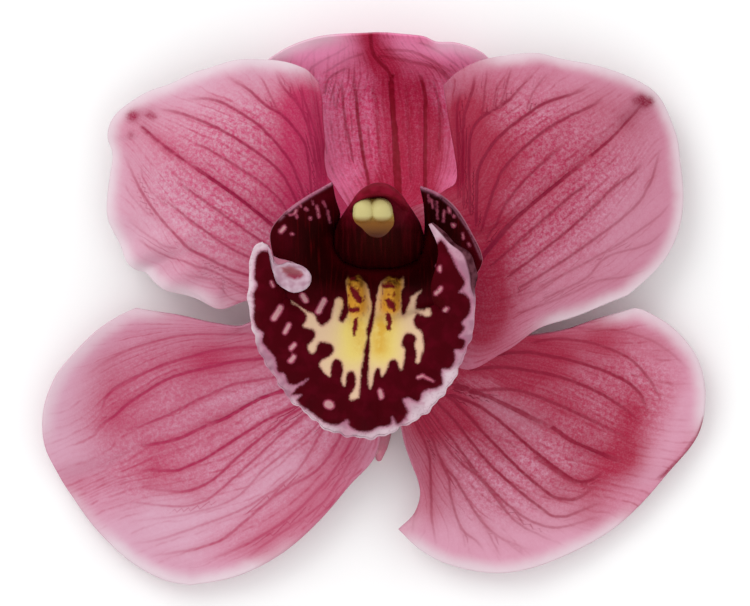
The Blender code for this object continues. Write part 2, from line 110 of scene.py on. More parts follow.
LATERAL_SEPAL_LEFT = {
    "base_angles": (192, 258),
    "side_a": [(-13.0, 1.5, 8.8), (-20.8, -3.5, 7.4), (-25.8, -3.0, 7.0), (-33.5, -1.3, 6.6),
               (-39.6, -0.3, 6.4)],
    "side_b": [(-0.6, -8.0, 8.6), (1.3, -18.0, 7.6), (0.3, -25.0, 7.2), (-4.3, -30.3, 6.6),
               (-10.4, -37.4, 6.0), (-15.4, -41.5, 5.6), (-22.2, -45.0, 5.2), (-30.6, -46.7, 5.0)],
    "tip": [(-39.6, -0.3, 6.4), (-42.2, -1.5, 6.2), (-46.2, -4.2, 6.0), (-50.4, -8.4, 5.6),
            (-53.4, -12.4, 5.4), (-55.3, -17.8, 5.0), (-54.8, -23.9, 4.4), (-51.2, -30.3, 3.6),
            (-46.9, -36.7, 3.8), (-42.6, -41.2, 4.2), (-38.8, -44.0, 4.4), (-34.6, -46.0, 4.8),
            (-30.6, -46.7, 5.0)],
    "apex": 7,
    "midrib": [(-6.5, -5.0, 7.4), (-14.7, -13.6, 4.2), (-20.3, -16.2, 2.4), (-26.3, -18.9, 1.1),
               (-34.0, -22.4, 0.6), (-42.0, -26.0, 1.2), (-51.2, -30.3, 3.6)],
}
LATERAL_SEPAL_RIGHT = {
    "base_angles": (-15, -78),
    "side_a": [(13.0, -0.5, 8.6), (22.0, -4.4, 7.8), (27.3, -4.8, 7.4), (38.2, -1.9, 6.6),
               (43.7, -0.3, 6.4)],
    "side_b": [(0.9, -6.0, 9.2), (2.4, -14.0, 8.2), (4.9, -20.4, 7.4), (6.5, -25.8, 6.8), (7.9, -31.0, 6.2),
               (6.9, -34.6, 6.0), (4.2, -37.3, 6.0)],
    "tip": [(43.7, -0.3, 6.4), (45.5, -0.8, 6.4), (50.2, -3.7, 6.0), (53.7, -7.6, 5.6), (55.3, -11.8, 5.2),
            (55.6, -17.0, 4.6), (54.2, -22.0, 4.0), (50.1, -27.3, 3.6), (43.8, -34.3, 3.8),
            (38.6, -38.3, 4.2), (32.4, -41.7, 4.4), (25.0, -44.3, 4.8), (19.4, -44.6, 5.0),
            (12.6, -43.2, 5.4), (7.8, -40.7, 5.8), (4.2, -37.3, 6.0)],
    "apex": 7,
    "midrib": [(7.4, -2.6, 8.2), (13.2, -11.2, 5.2), (20.3, -16.2, 2.3), (25.8, -18.7, 1.1),
               (33.0, -22.6, 0.6), (41.3, -25.8, 2.2), (50.1, -27.3, 3.6)],
}

# The lip and the column are placed as they look beside the tepals, and NEARER_SCALE brings them in, since
# they stand 20 mm nearer to the viewer. The lip's back edge runs down one side lobe's inner margin to the
# claw and up the other's. Its front edge is the fold between throat and midlobe, from notch to notch.
LOBE_TIP_LEFT = (-6.8, 20.6, 29.0)
LOBE_TIP_RIGHT = (7.9, 19.9, 29.0)
NOTCH_LEFT = (-14.8, 1.4, 27.3)
NOTCH_RIGHT = (10.6, 0.2, 26.2)
LIP_BACK = [LOBE_TIP_LEFT, (-6.4, 18.0, 27.4), (-5.75, 15.4, 24.8), (-6.6, 12.2, 20.6), (-5.5, 8.0, 16.2),
            (-3.0, 6.9, 13.8), (0.5, 6.8, LIP_BASE_Z), (4.2, 6.9, 13.9), (7.3, 8.0, 16.6),
            (8.75, 11.5, 21.4), (8.7, 16.6, 26.4), LOBE_TIP_RIGHT]
LIP_LEFT = [LOBE_TIP_LEFT, (-11.8, 17.7, 30.2), (-15.0, 15.2, 30.6), (-17.0, 12.4, 30.4),
            (-16.8, 9.2, 29.6), (-15.6, 5.6, 28.2), NOTCH_LEFT]
LIP_RIGHT = [LOBE_TIP_RIGHT, (10.8, 18.7, 29.8), (13.7, 16.3, 30.2), (16.2, 12.4, 29.8), (18.2, 8.0, 28.4),
             (17.4, 5.6, 27.2), (14.6, 2.8, 26.0), NOTCH_RIGHT]
LIP_FRONT = [NOTCH_LEFT, (-9.5, -2.0, 25.6), (-4.5, -2.7, 23.8), (0.5, -2.8, 23.2), (5.4, -2.2, 24.3),
             NOTCH_RIGHT]
EAR_LEFT = [(-17.4, 10.1, 32.2), (-17.1, 8.0, 31.7), (-16.9, 6.2, 30.9), (-16.3, 4.6, 29.8),
            (-15.3, 3.2, 28.5), NOTCH_LEFT]
EAR_RIGHT = [NOTCH_RIGHT, (9.9, 3.2, 28.6), (10.5, 6.4, 30.6), (10.8, 9.8, 32.0), (9.3, 13.6, 32.8)]
MIDLOBE_MARGIN = [(-18.2, 10.5, 32.3), (-19.5, 9.8, 32.0), (-20.2, 8.0, 31.4), (-20.4, 4.4, 30.4),
                  (-20.4, -0.6, 29.0), (-19.3, -6.0, 27.0), (-16.2, -12.0, 25.0), (-11.9, -17.2, 22.6),
                  (-6.6, -20.9, 21.0), (-1.6, -22.0, 20.4), (4.0, -20.6, 21.2), (10.6, -16.0, 23.8),
                  (13.8, -11.0, 25.8), (15.9, -6.0, 27.6), (16.7, -1.4, 29.0), (16.4, 2.8, 30.2),
                  (14.9, 8.2, 31.6), (12.2, 10.8, 32.4), (9.7, 13.7, 33.0)]
# The left ear's inner edge goes on into a flap that curls over the throat: how far along the edge it ends,
# its free edge, its raised rims and the outline of its dish
CURL_END = 0.62
CURL_EDGE = [(-17.4, 10.1, 32.2), (-16.7, 8.3, 32.1), (-16.2, 7.0, 31.9), (-15.2, 6.9, 31.7),
             (-14.2, 7.3, 31.6), (-12.6, 7.0, 31.3), (-11.0, 6.1, 30.8), (-10.3, 4.6, 30.5),
             (-11.1, 3.0, 30.3), (-13.3, 2.3, 30.1), (-15.0, 3.2, 30.1)]
CURL_BAND = [(-17.3, 9.4), (-16.9, 8.0), (-16.7, 6.6), (-16.0, 4.9), (-14.7, 3.6), (-13.2, 3.1),
             (-11.6, 3.5), (-10.8, 4.6)]
CURL_FAR_RIM = [(-15.6, 6.8), (-14.4, 7.2), (-12.7, 6.9), (-11.1, 6.0), (-10.6, 5.0)]
CURL_DISH = [(-15.4, 6.6), (-13.7, 6.8), (-11.9, 6.1), (-11.3, 5.2), (-12.0, 4.5), (-13.1, 4.35),
             (-14.3, 4.9), (-15.2, 5.8)]
CURL_DEPTH = 1.2
CURL_DISH_WALL = 0.8
CURL_DISH_SOFT_EDGE = 0.3
CURL_FAR_Y = (4.6, 5.8)
CURL_EDGE_DISTANCE = 0.3
# Heights and widths of the flap's two raised rims
CURL_RIMS = [(0.55, 0.6, CURL_BAND), (0.3, 0.3, CURL_FAR_RIM)]
# Where the right ear's margin rolls over: its breadth at fractions of the midlobe's margin, its rows of
# faces and how steeply it turns down
ROLL_PLACES = (0.0, 0.9, 0.912, 0.93, 0.95, 0.965, 0.985, 1.0)
ROLL_BREADTHS = (0.05, 0.05, 0.4, 1.3, 1.2, 0.9, 0.7, 0.12)
ROLL_ROWS = 6
ROLL_DROP = 0.8
# The painted shade on the rolled margin shows beyond this x, and comes in between these places in y
ROLL_SHADE_X = 9.0
ROLL_SHADE_Y = (1.0, 3.0)
# Where the notches' ends fall along the midlobe's margin, as fractions of its length
MARGIN_AT_NOTCHES = (0.16, 0.78)
LIP_THROAT_ROWS = 9
LIP_MIDLOBE_ROWS = 8
LIP_THROAT_COLUMNS = 28
LIP_EAR_COLUMNS = 5
LIP_CURL_ROWS = 2
# The fold between throat and midlobe is smoothed this far on either side, between these places in x
FOLD_REACH = 3.5
FOLD_X = (-12.5, 9.0)
FOLD_ROUNDS = 24
LIP_THINNING = 3.0
# The lip's back turns rosy between these distances from its inner edge; nearer it, the back keeps the
# front's dark colour as painted shade under the column. The throat lies this deep in maroon.
LIP_BACK_TINT = (2.0, 4.0)
DEEP_IN_MAROON = 5.0
MIDLOBE_DOME = 2.2
DOME_FADE_Y = 8.0
MIDLOBE_GROOVE = 1.2
GROOVE_X = 0.3
GROOVE_WIDTH = 1.6
FRILL_COUNT = 15
FRILL_HEIGHT = 0.7
# Ripples of the margin's outline: how many, and how far they reach as a fraction of the midlobe's size
MARGIN_RIPPLES = [(9, 0.008), (21, 0.008), (37, 0.006)]
LIP_MIDDLE = (-1.5, -3.0)
KEEL_X = (-2.7, 2.9)
KEEL_Y = (-2.4, 3.4)
KEEL_HEIGHT = 1.7
KEEL_WIDTH = 1.1
KEEL_RISE = 2.0
KEEL_FALL = 1.5

# The column's cross-sections: centre y and z, half its breadth, half its depth, lean towards +Y in degrees.
# The step after the ninth is the shelf that the anther cap sits on. The hood behind it bends round the cap.
COLUMN_X = 1.0
COLUMN_SECTIONS = [
    (9.4, 12.9, 3.2, 2.4, 0), (9.4, 14.4, 4.4, 2.9, 0), (9.3, 16.8, 6.0, 3.2, 8), (9.8, 19.4, 7.3, 3.4, 20),
    (11.0, 22.2, 7.7, 3.5, 27), (12.8, 25.6, 7.1, 3.5, 28), (14.4, 28.8, 6.0, 3.4, 24),
    (15.6, 31.4, 5.0, 3.3, 14), (16.1, 32.8, 4.5, 3.2, 5), (18.9, 33.3, 5.0, 1.4, 0),
    (19.3, 35.2, 4.7, 1.2, 0), (19.4, 36.8, 3.8, 1.0, 0), (19.2, 37.7, 2.2, 0.6, 0),
    (19.1, 38.0, 0.06, 0.03, 0),
]
COLUMN_SQUARENESS = 0.75
HOOD_FIRST_SECTION = 9
HOOD_BEND = 2.2
HOOD_HALF_WIDTH = 4.3
# The hood's red fades in between these places in y and these heights
HOOD_TINT_Y = (12.6, 18.2)
HOOD_TINT_Z = (24.0, 30.0)

# The cap as it looks from above: its middle, and its outline round two lobes and a narrow lower part
CAP_CENTRE = (0.0, 15.0, 35.0)
CAP_OUTLINE = [(-3.3, 15.7), (-3.1, 17.0), (-2.3, 17.75), (-1.2, 17.95), (-0.2, 17.8), (0.9, 17.95),
               (2.2, 17.7), (3.0, 16.9), (3.3, 15.6), (3.5, 14.4), (3.4, 13.4), (2.9, 12.7), (2.4, 12.1),
               (1.8, 11.6), (0.9, 11.3), (-0.3, 11.5), (-1.1, 12.1), (-1.8, 12.9), (-2.8, 13.7),
               (-3.3, 14.6)]
# Its two lobes: middle x and y, and half their breadth and depth
CAP_LOBES = [(-1.75, 15.95, 2.0, 2.2), (1.5, 15.95, 2.0, 2.2)]
CAP_LOBE_HEIGHT = 1.5
CAP_HEIGHT = 1.2
# Below this y the cap slopes down to its lower part
CAP_SLOPE_Y = 14.4
CAP_SLOPE_LENGTH = 3.0
CAP_SLOPE_DROP = 0.9
CAP_TONE_Y = (11.6, 13.6)
CAP_RINGS = 47
CAP_SIDES = 96

# The last part of each vein fades, and its flush reaches beyond it: evenly, and by its half breadth
VEIN_FADE = 0.22
FLUSH_REACH = 0.5
FLUSH_PER_BREADTH = 1.2
# The veins as they look from above, each from the base outwards: darkness, half its breadth and its line
VEINS = {
    "petal_left": [
        (1.0, 0.42, [(-16.2, 12.8), (-22.2, 18), (-31, 24)]),
        (0.6, 0.16, [(-31, 24), (-33.8, 25.8), (-39.5, 30.8)]),
        (0.6, 0.16, [(-14.3, 15.7), (-15.8, 18), (-19.7, 21.3), (-27.2, 26), (-29.8, 27.2)]),
        (0.8, 0.2, [(-12.5, 16.8), (-15.5, 22.3), (-20.8, 26.5), (-25.2, 29.2), (-28.8, 30.8), (-33, 32.2),
                    (-35.8, 32.7)]),
        (0.8, 0.2, [(-11.3, 17.7), (-13.8, 23.8), (-16.3, 27.2), (-19.7, 30.5), (-26.3, 34.2),
                    (-30.8, 34.3)]),
        (0.85, 0.2, [(-10.2, 18.3), (-11.3, 26.5), (-12.2, 28.2), (-15.5, 32), (-17.5, 33), (-21.3, 36.3),
                     (-24.5, 38.2)]),
        (0.5, 0.14, [(-15.8, 32.2), (-18.8, 38.3)]),
        (0.7, 0.18, [(-9.3, 19.3), (-9.5, 22.7), (-10.8, 29.3), (-12.5, 33.5), (-15, 36.3), (-16.3, 39.3)]),
        (0.4, 0.12, [(-11.7, 31.8), (-14, 37.7)]),
        (0.6, 0.16, [(-8.7, 19.7), (-9.5, 27.7), (-11.7, 34.7), (-12, 37)]),
        (0.55, 0.18, [(-8, 20.2), (-8.3, 26), (-9.7, 35.7)]),
        (0.65, 0.17, [(-17.5, 10), (-32.8, 21)]),
        (0.65, 0.17, [(-19.5, 7.7), (-24.2, 10), (-29.2, 13.5), (-35.8, 18.8)]),
        (0.8, 0.2, [(-19.5, 4.8), (-24.2, 6.5), (-30.5, 9.7), (-37.7, 18), (-41.2, 25.2)]),
        (0.3, 0.12, [(-34.7, 17), (-36.8, 19.3), (-38, 21.3), (-38.3, 23.5)]),
        (0.55, 0.16, [(-19.7, 2.2), (-26.3, 5.8), (-29.7, 6.8), (-37.2, 10), (-39.2, 11.3)]),
        (0.4, 0.13, [(-33, 9.8), (-35.5, 10.5), (-40.8, 14.5)]),
        (0.3, 0.12, [(-37.2, 15.3), (-40.2, 18.5), (-41.2, 20.5)]),
        (0.35, 0.14, [(-20.2, 1.5), (-23.5, 3.2), (-28, 4.8), (-32.5, 5.5)]),
        (0.4, 0.14, [(-20.5, 0.2), (-23.8, 1.5), (-25.2, 3), (-26.8, 4)]),
    ],
    "petal_right": [
        (1.0, 0.42, [(17.5, 7.3), (24.5, 15.2), (36.2, 24.8)]),
        (1.0, 0.24, [(36.2, 24.8), (40.3, 28.5), (45.5, 34.7)]),
        (0.65, 0.18, [(19.2, 11.3), (22.3, 17.2), (26.5, 22.2), (31.5, 26.5)]),
        (0.8, 0.2, [(18.2, 13.3), (21.2, 21.7), (23.8, 25), (30.3, 30.3), (36.5, 33.2), (38.2, 34.5)]),
        (0.9, 0.22, [(17.2, 14), (17.5, 21.3), (18.2, 23.8), (20.7, 27.7), (25.3, 31.5), (28.7, 33.7),
                     (33.7, 35.3), (36.2, 36.5)]),
        (0.9, 0.2, [(16.2, 15.7), (16.2, 26.8), (16.7, 29.3), (17.8, 31), (22.5, 34), (26.8, 38.7)]),
        (0.7, 0.2, [(15.2, 16.8), (15.2, 29.3), (15.5, 32.3), (16.7, 36), (17, 38.5)]),
        (0.6, 0.2, [(14.3, 18.5), (14.2, 32.7), (14.7, 35.7)]),
        (0.5, 0.14, [(21.2, 33), (23.2, 39.7)]),
        (0.4, 0.13, [(25.8, 33.3), (26.8, 35.7), (29.2, 38.7)]),
        (0.5, 0.13, [(18.2, 31.2), (19, 39.3)]),
        (0.4, 0.12, [(20, 32.3), (20.8, 37.3)]),
        (0.7, 0.18, [(20, 7), (32.8, 18.3), (36.2, 20.7)]),
        (0.7, 0.18, [(22.8, 5.2), (32.8, 13), (40.8, 20.5), (42.8, 21.8), (44.8, 23.8)]),
        (0.7, 0.18, [(24.5, 3.2), (31.2, 7.3), (43.2, 16.3), (46.2, 21), (47.7, 26.3)]),
        (0.5, 0.15, [(27.8, 3.3), (39.8, 9.8), (47.8, 15.2), (49.5, 17.2)]),
        (0.5, 0.15, [(28.7, 1.5), (35.3, 4.7), (38.7, 8.2), (45.3, 10.2), (47, 11.3), (48.7, 13)]),
        (0.45, 0.15, [(24.5, -1), (33.7, 2.5), (37, 4.2), (42, 5), (44.5, 5.7), (46.5, 6.7)]),
        (0.3, 0.13, [(21.2, 1), (29.2, 3.2)]),
    ],
    "dorsal_sepal": [
        (0.8, 0.3, [(-0.5, 46), (-0.2, 43.5), (0.5, 41.8), (2.7, 39.3), (3, 38)]),
        (1.0, 0.6, [(3, 38.7), (4.2, 21), (4.2, 16.8)]),
        (0.85, 0.27, [(-0.5, 19), (-2, 26.8), (-3.3, 39)]),
        (0.5, 0.2, [(-3.5, 24.3), (-5, 32.7), (-5.3, 38.3)]),
        (0.5, 0.16, [(-8, 36), (-7.8, 37.3), (-7, 38.5), (-3.8, 40.3)]),
        (0.35, 0.14, [(-6.5, 33.5), (-6.7, 36), (-6, 38.3)]),
        (0.9, 0.3, [(8.7, 19.3), (8.8, 34.3), (8.5, 36.8), (7.8, 39)]),
        (0.5, 0.2, [(11.2, 26), (11.2, 33.5), (10, 38.3)]),
        (0.3, 0.3, [(1.3, 20.2), (0.7, 33.5), (-0.2, 37)]),
        (0.3, 0.3, [(6.3, 21), (5.5, 37.7)]),
        (0.45, 0.25, [(1.5, 42), (8.7, 40.5), (11.2, 39.5), (13, 37.7)]),
        (0.5, 0.2, [(2, 43), (5.3, 42.8), (7.8, 42.2), (14, 38.8)]),
        (0.4, 0.15, [(7.8, 44), (9.8, 43.3), (15.3, 39.3)]),
        (0.3, 0.13, [(13.7, 42.3), (16.2, 40.3)]),
        (0.35, 0.16, [(-1.8, 42.3), (-4.7, 41.3), (-8.8, 38.7)]),
        (0.35, 0.14, [(-4.7, 43.2), (-10.2, 40), (-10.8, 38.7)]),
        (0.25, 0.13, [(-8.5, 43.7), (-10.5, 42.3), (-11.8, 40.7)]),
    ],
    "lateral_sepal_left": [
        (0.4, 0.15, [(-19.7, -4.7), (-26.3, -4.5), (-32.3, -4.8), (-36.3, -5.7), (-40.3, -7), (-44.7, -9.2),
                     (-48, -11.5)]),
        (0.65, 0.2, [(-18.3, -6.7), (-24.3, -7), (-28.3, -7.7), (-36.3, -10.3), (-43, -13.5),
                     (-44.7, -15.5), (-45.3, -17.8)]),
        (0.85, 0.22, [(-16.3, -8.5), (-21.7, -9), (-27, -10), (-31.7, -11.2), (-35, -12.5), (-41, -16.3),
                      (-43, -18.2), (-45, -19.5), (-46.7, -21.5)]),
        (0.6, 0.2, [(-15.3, -11.6), (-21, -12.5), (-24.7, -13.5), (-35.7, -18.8), (-41.3, -20.8)]),
        (1.0, 0.42, [(-13, -13.7), (-18.7, -15.3), (-24.3, -18.5), (-27.7, -19.8)]),
        (0.85, 0.26, [(-27.7, -19.8), (-31, -21.5), (-35, -22.8), (-39, -23.2)]),
        (0.95, 0.2, [(-13, -16.7), (-18, -19.2), (-28, -25.5), (-31, -26.8), (-33, -27.5), (-38.7, -27.3)]),
        (0.85, 0.19, [(-11.3, -16.8), (-13.3, -17.8), (-16.3, -20.2), (-22, -24.8), (-26.3, -28.8),
                      (-29, -30.3), (-31.7, -31), (-39, -30.4)]),
        (0.7, 0.16, [(-10.7, -17.8), (-12.3, -18.8), (-26.3, -31.5), (-29.7, -33.2), (-33, -33.5),
                     (-41.7, -32.6)]),
        (0.5, 0.15, [(-8.3, -18.8), (-12.3, -22.8), (-18, -27.2), (-21.3, -30.8), (-24.3, -32.8),
                     (-31, -34.8), (-40.7, -36)]),
        (0.55, 0.17, [(-6.7, -18.8), (-8, -20.2), (-11.7, -26.5), (-14.7, -29.5), (-18, -31.8),
                      (-22.3, -34.2), (-31, -37.5), (-35.7, -39), (-40, -39.7)]),
        (0.65, 0.2, [(-4.3, -19.8), (-7, -24.8), (-9.7, -27.8), (-16, -31.5), (-24.3, -38.5), (-27.7, -40),
                     (-31.7, -41), (-37, -41.7)]),
        (0.5, 0.19, [(-2.7, -21.2), (-5.7, -26.5), (-7.7, -29.2), (-13.7, -35.2), (-21, -39.8),
                     (-28, -42.8)]),
        (0.4, 0.17, [(-1.7, -22.2), (-7.3, -31.8), (-10.3, -34.5), (-18, -39.8), (-21.3, -42.5)]),
        (0.3, 0.15, [(0, -22.5), (-3.3, -28.2), (-6.3, -32.5), (-13.3, -38.8)]),
    ],
    "lateral_sepal_right": [
        (0.3, 0.18, [(32.8, -3.5), (40.3, -4), (43.7, -4.7), (47, -6), (50.3, -8.2), (53.2, -11)]),
        (0.6, 0.2, [(27, -5.8), (30.3, -5.3), (33.7, -5.5), (37, -6.2), (42.5, -8.5), (46.2, -12.3),
                    (48.3, -16.3)]),
        (0.85, 0.24, [(17.8, -8.3), (24.5, -7.5), (27.8, -7.8), (34.5, -9.3), (41.2, -11.8), (43.2, -13.2),
                      (44.5, -14.5), (46, -18)]),
        (0.85, 0.24, [(16.2, -10.3), (21.2, -10), (24.5, -10.3), (31.2, -11.7), (37, -14), (40.8, -16.2),
                      (44.8, -19.5)]),
        (0.7, 0.24, [(15.3, -14), (22.8, -13.7), (26.2, -14.5), (34.5, -18), (43.2, -22.5)]),
        (1.0, 0.5, [(13.7, -13.3), (20.3, -15.5), (29.8, -20.2)]),
        (0.9, 0.36, [(29.8, -20.2), (34, -23), (41.5, -26.2)]),
        (1.0, 0.24, [(13.2, -14.7), (18.7, -17.3), (27.5, -24.8), (33.2, -28.8), (35, -29.3), (36.7, -28.8),
                     (38.5, -27.5)]),
        (0.5, 0.15, [(27, -25.3), (32, -28.7), (34.2, -29.7), (36.5, -30.2)]),
        (0.9, 0.22, [(12, -14.7), (13.7, -16), (22, -25), (29.8, -31.8), (32, -32.3), (33.8, -32.3),
                     (37.8, -29.5)]),
        (0.85, 0.2, [(10.3, -15.7), (13.7, -19.3), (19.5, -26.5), (29.2, -34.7), (31.2, -35.2),
                     (33.2, -34.8), (38.2, -32.7)]),
        (0.7, 0.18, [(8.7, -16.2), (17.8, -28.5), (22, -32.8), (25.8, -35.7), (29.8, -37), (32.3, -36.8),
                     (38.2, -35)]),
        (0.6, 0.17, [(7.8, -17), (12.3, -23.7), (14.5, -26.2), (17.5, -28.5), (22.5, -34.8), (24.5, -36.5),
                     (26.7, -37.8), (31.8, -40)]),
        (0.65, 0.18, [(7.2, -17.7), (9.8, -22.3), (10.7, -24.8), (12, -27), (13.7, -29), (17.8, -35.7),
                      (21.2, -38.7), (26.8, -41)]),
        (0.6, 0.17, [(11.2, -26), (12.5, -29), (12.7, -31.5), (14, -35.7), (15, -37.7), (17, -39),
                     (18.5, -41)]),
        (0.7, 0.18, [(6.2, -18), (8.7, -23.2), (9.3, -25.7), (9.7, -34.8), (10.5, -40.2)]),
        (0.5, 0.15, [(17.8, -35.3), (21.3, -41.8)]),
        (0.3, 0.13, [(14.8, -37.5), (15.3, -40.3)]),
        (0.3, 0.13, [(22, -39.2), (25.3, -41.7)]),
        (0.3, 0.13, [(7, -33.7), (6.5, -37.7)]),
    ],
}
# How the fine veins run: the fraction across at 0, 0.3, 0.6 and 0.9 of the way to the tip
STRAND_STATIONS = (0.0, 0.3, 0.6, 0.9)
STRANDS = {
    "petal_left": [
        (0.01, 0.02, 0.02, 0.03), (0.06, 0.06, 0.07, 0.12), (0.13, 0.113, 0.13, 0.24),
        (0.22, 0.17, 0.225, 0.39), (0.31, 0.242, 0.31, 0.44), (0.4, 0.354, 0.415, 0.475),
        (0.5, 0.5, 0.5, 0.5), (0.6, 0.633, 0.565, 0.525), (0.69, 0.75, 0.7, 0.56),
        (0.78, 0.84, 0.79, 0.60), (0.87, 0.91, 0.87, 0.72), (0.95, 0.96, 0.95, 0.86),
    ],
    "petal_right": [
        (0.01, 0.01, 0.02, 0.1), (0.1, 0.06, 0.095, 0.24), (0.2, 0.16, 0.205, 0.37),
        (0.3, 0.27, 0.31, 0.42), (0.4, 0.375, 0.4, 0.46), (0.5, 0.5, 0.5, 0.5),
        (0.6, 0.6, 0.565, 0.53), (0.69, 0.69, 0.655, 0.56), (0.78, 0.78, 0.74, 0.61),
        (0.87, 0.86, 0.84, 0.7), (0.95, 0.94, 0.93, 0.83),
    ],
    "dorsal_sepal": [
        (0.06, 0.05, 0.08, 0.25), (0.2, 0.13, 0.18, 0.36), (0.27, 0.19, 0.25, 0.395),
        (0.34, 0.275, 0.32, 0.43), (0.42, 0.38, 0.41, 0.46), (0.5, 0.5, 0.5, 0.485),
        (0.58, 0.61, 0.575, 0.53), (0.66, 0.73, 0.655, 0.56), (0.73, 0.83, 0.74, 0.6),
        (0.8, 0.9, 0.83, 0.68), (0.94, 0.96, 0.92, 0.8),
    ],
    "lateral_sepal_left": [
        (0.05, 0.08, 0.04, 0.15), (0.15, 0.17, 0.11, 0.283), (0.27, 0.28, 0.225, 0.37),
        (0.38, 0.36, 0.325, 0.42), (0.5, 0.5, 0.5, 0.5), (0.58, 0.58, 0.61, 0.54),
        (0.66, 0.66, 0.706, 0.58), (0.75, 0.75, 0.79, 0.66), (0.84, 0.84, 0.87, 0.78),
        (0.94, 0.94, 0.95, 0.9),
    ],
    "lateral_sepal_right": [
        (0.08, 0.08, 0.08, 0.2), (0.18, 0.18, 0.18, 0.32), (0.28, 0.28, 0.28, 0.39),
        (0.39, 0.39, 0.39, 0.45), (0.5, 0.5, 0.5, 0.5), (0.6, 0.6, 0.6, 0.55),
        (0.7, 0.7, 0.7, 0.61), (0.79, 0.79, 0.79, 0.7), (0.88, 0.88, 0.88, 0.82),
        (0.95, 0.95, 0.95, 0.92),
    ],
}

# Folds and swells of each petal and sepal: height, width and the line they follow
FOLDS = {
    "petal_left": [
        (-0.5, 0.9, [(-14, 12), (-22, 17.5), (-31, 24), (-38, 29.5)]),
        (0.9, 2.0, [(-41, 7), (-36, 10), (-31, 11)]),
        (-0.8, 1.6, [(-38, 6), (-33, 8)]),
        (0.7, 1.8, [(-34, 4.5), (-29, 6.5)]),
        (-1.0, 1.6, [(-6.8, 22), (-8, 30), (-9.2, 37)]),
    ],
    "petal_right": [
        (-0.5, 0.9, [(13, 10), (22, 13.5), (30, 20), (39, 28), (46, 34)]),
        (-1.0, 1.6, [(13.6, 21), (13.4, 28), (12.4, 36)]),
    ],
    "dorsal_sepal": [
        (-0.4, 0.9, [(3, 20), (3.4, 30), (2.8, 38)]),
    ],
    "lateral_sepal_left": [
        (-0.5, 1.0, [(-14, -13), (-26, -19.5), (-42, -26.5)]),
        (-1.2, 2.4, [(-53, -30), (-46, -28), (-38, -27)]),
    ],
    "lateral_sepal_right": [
        (-0.5, 1.0, [(14, -12), (26, -19), (38, -25)]),
        (1.6, 3.0, [(36, -26), (42, -27.5), (47, -26)]),
        (-0.5, 2.0, [(36.5, -23), (34, -27), (32, -30)]),
    ],
}

# The tepals thin out this near to their margins, and no point of their middle surface lies lower than this
TEPAL_THINNING = 5.0
LOWEST_TEPAL_Z = 0.55
# The greatest distance to a vein, and from strand to strand, that the finish reads
FARTHEST_VEIN = 9.0
WIDEST_GAP = 12.0
# Waves along each margin: how many, their height and how far in they reach
WAVES = {
    "petal_left": (7, 0.35, 4.5),
    "petal_right": (6, 0.3, 4.0),
    "dorsal_sepal": (5, 0.2, 3.0),
    "lateral_sepal_left": (6, 0.25, 4.0),
    "lateral_sepal_right": (7, 0.3, 4.0),
}
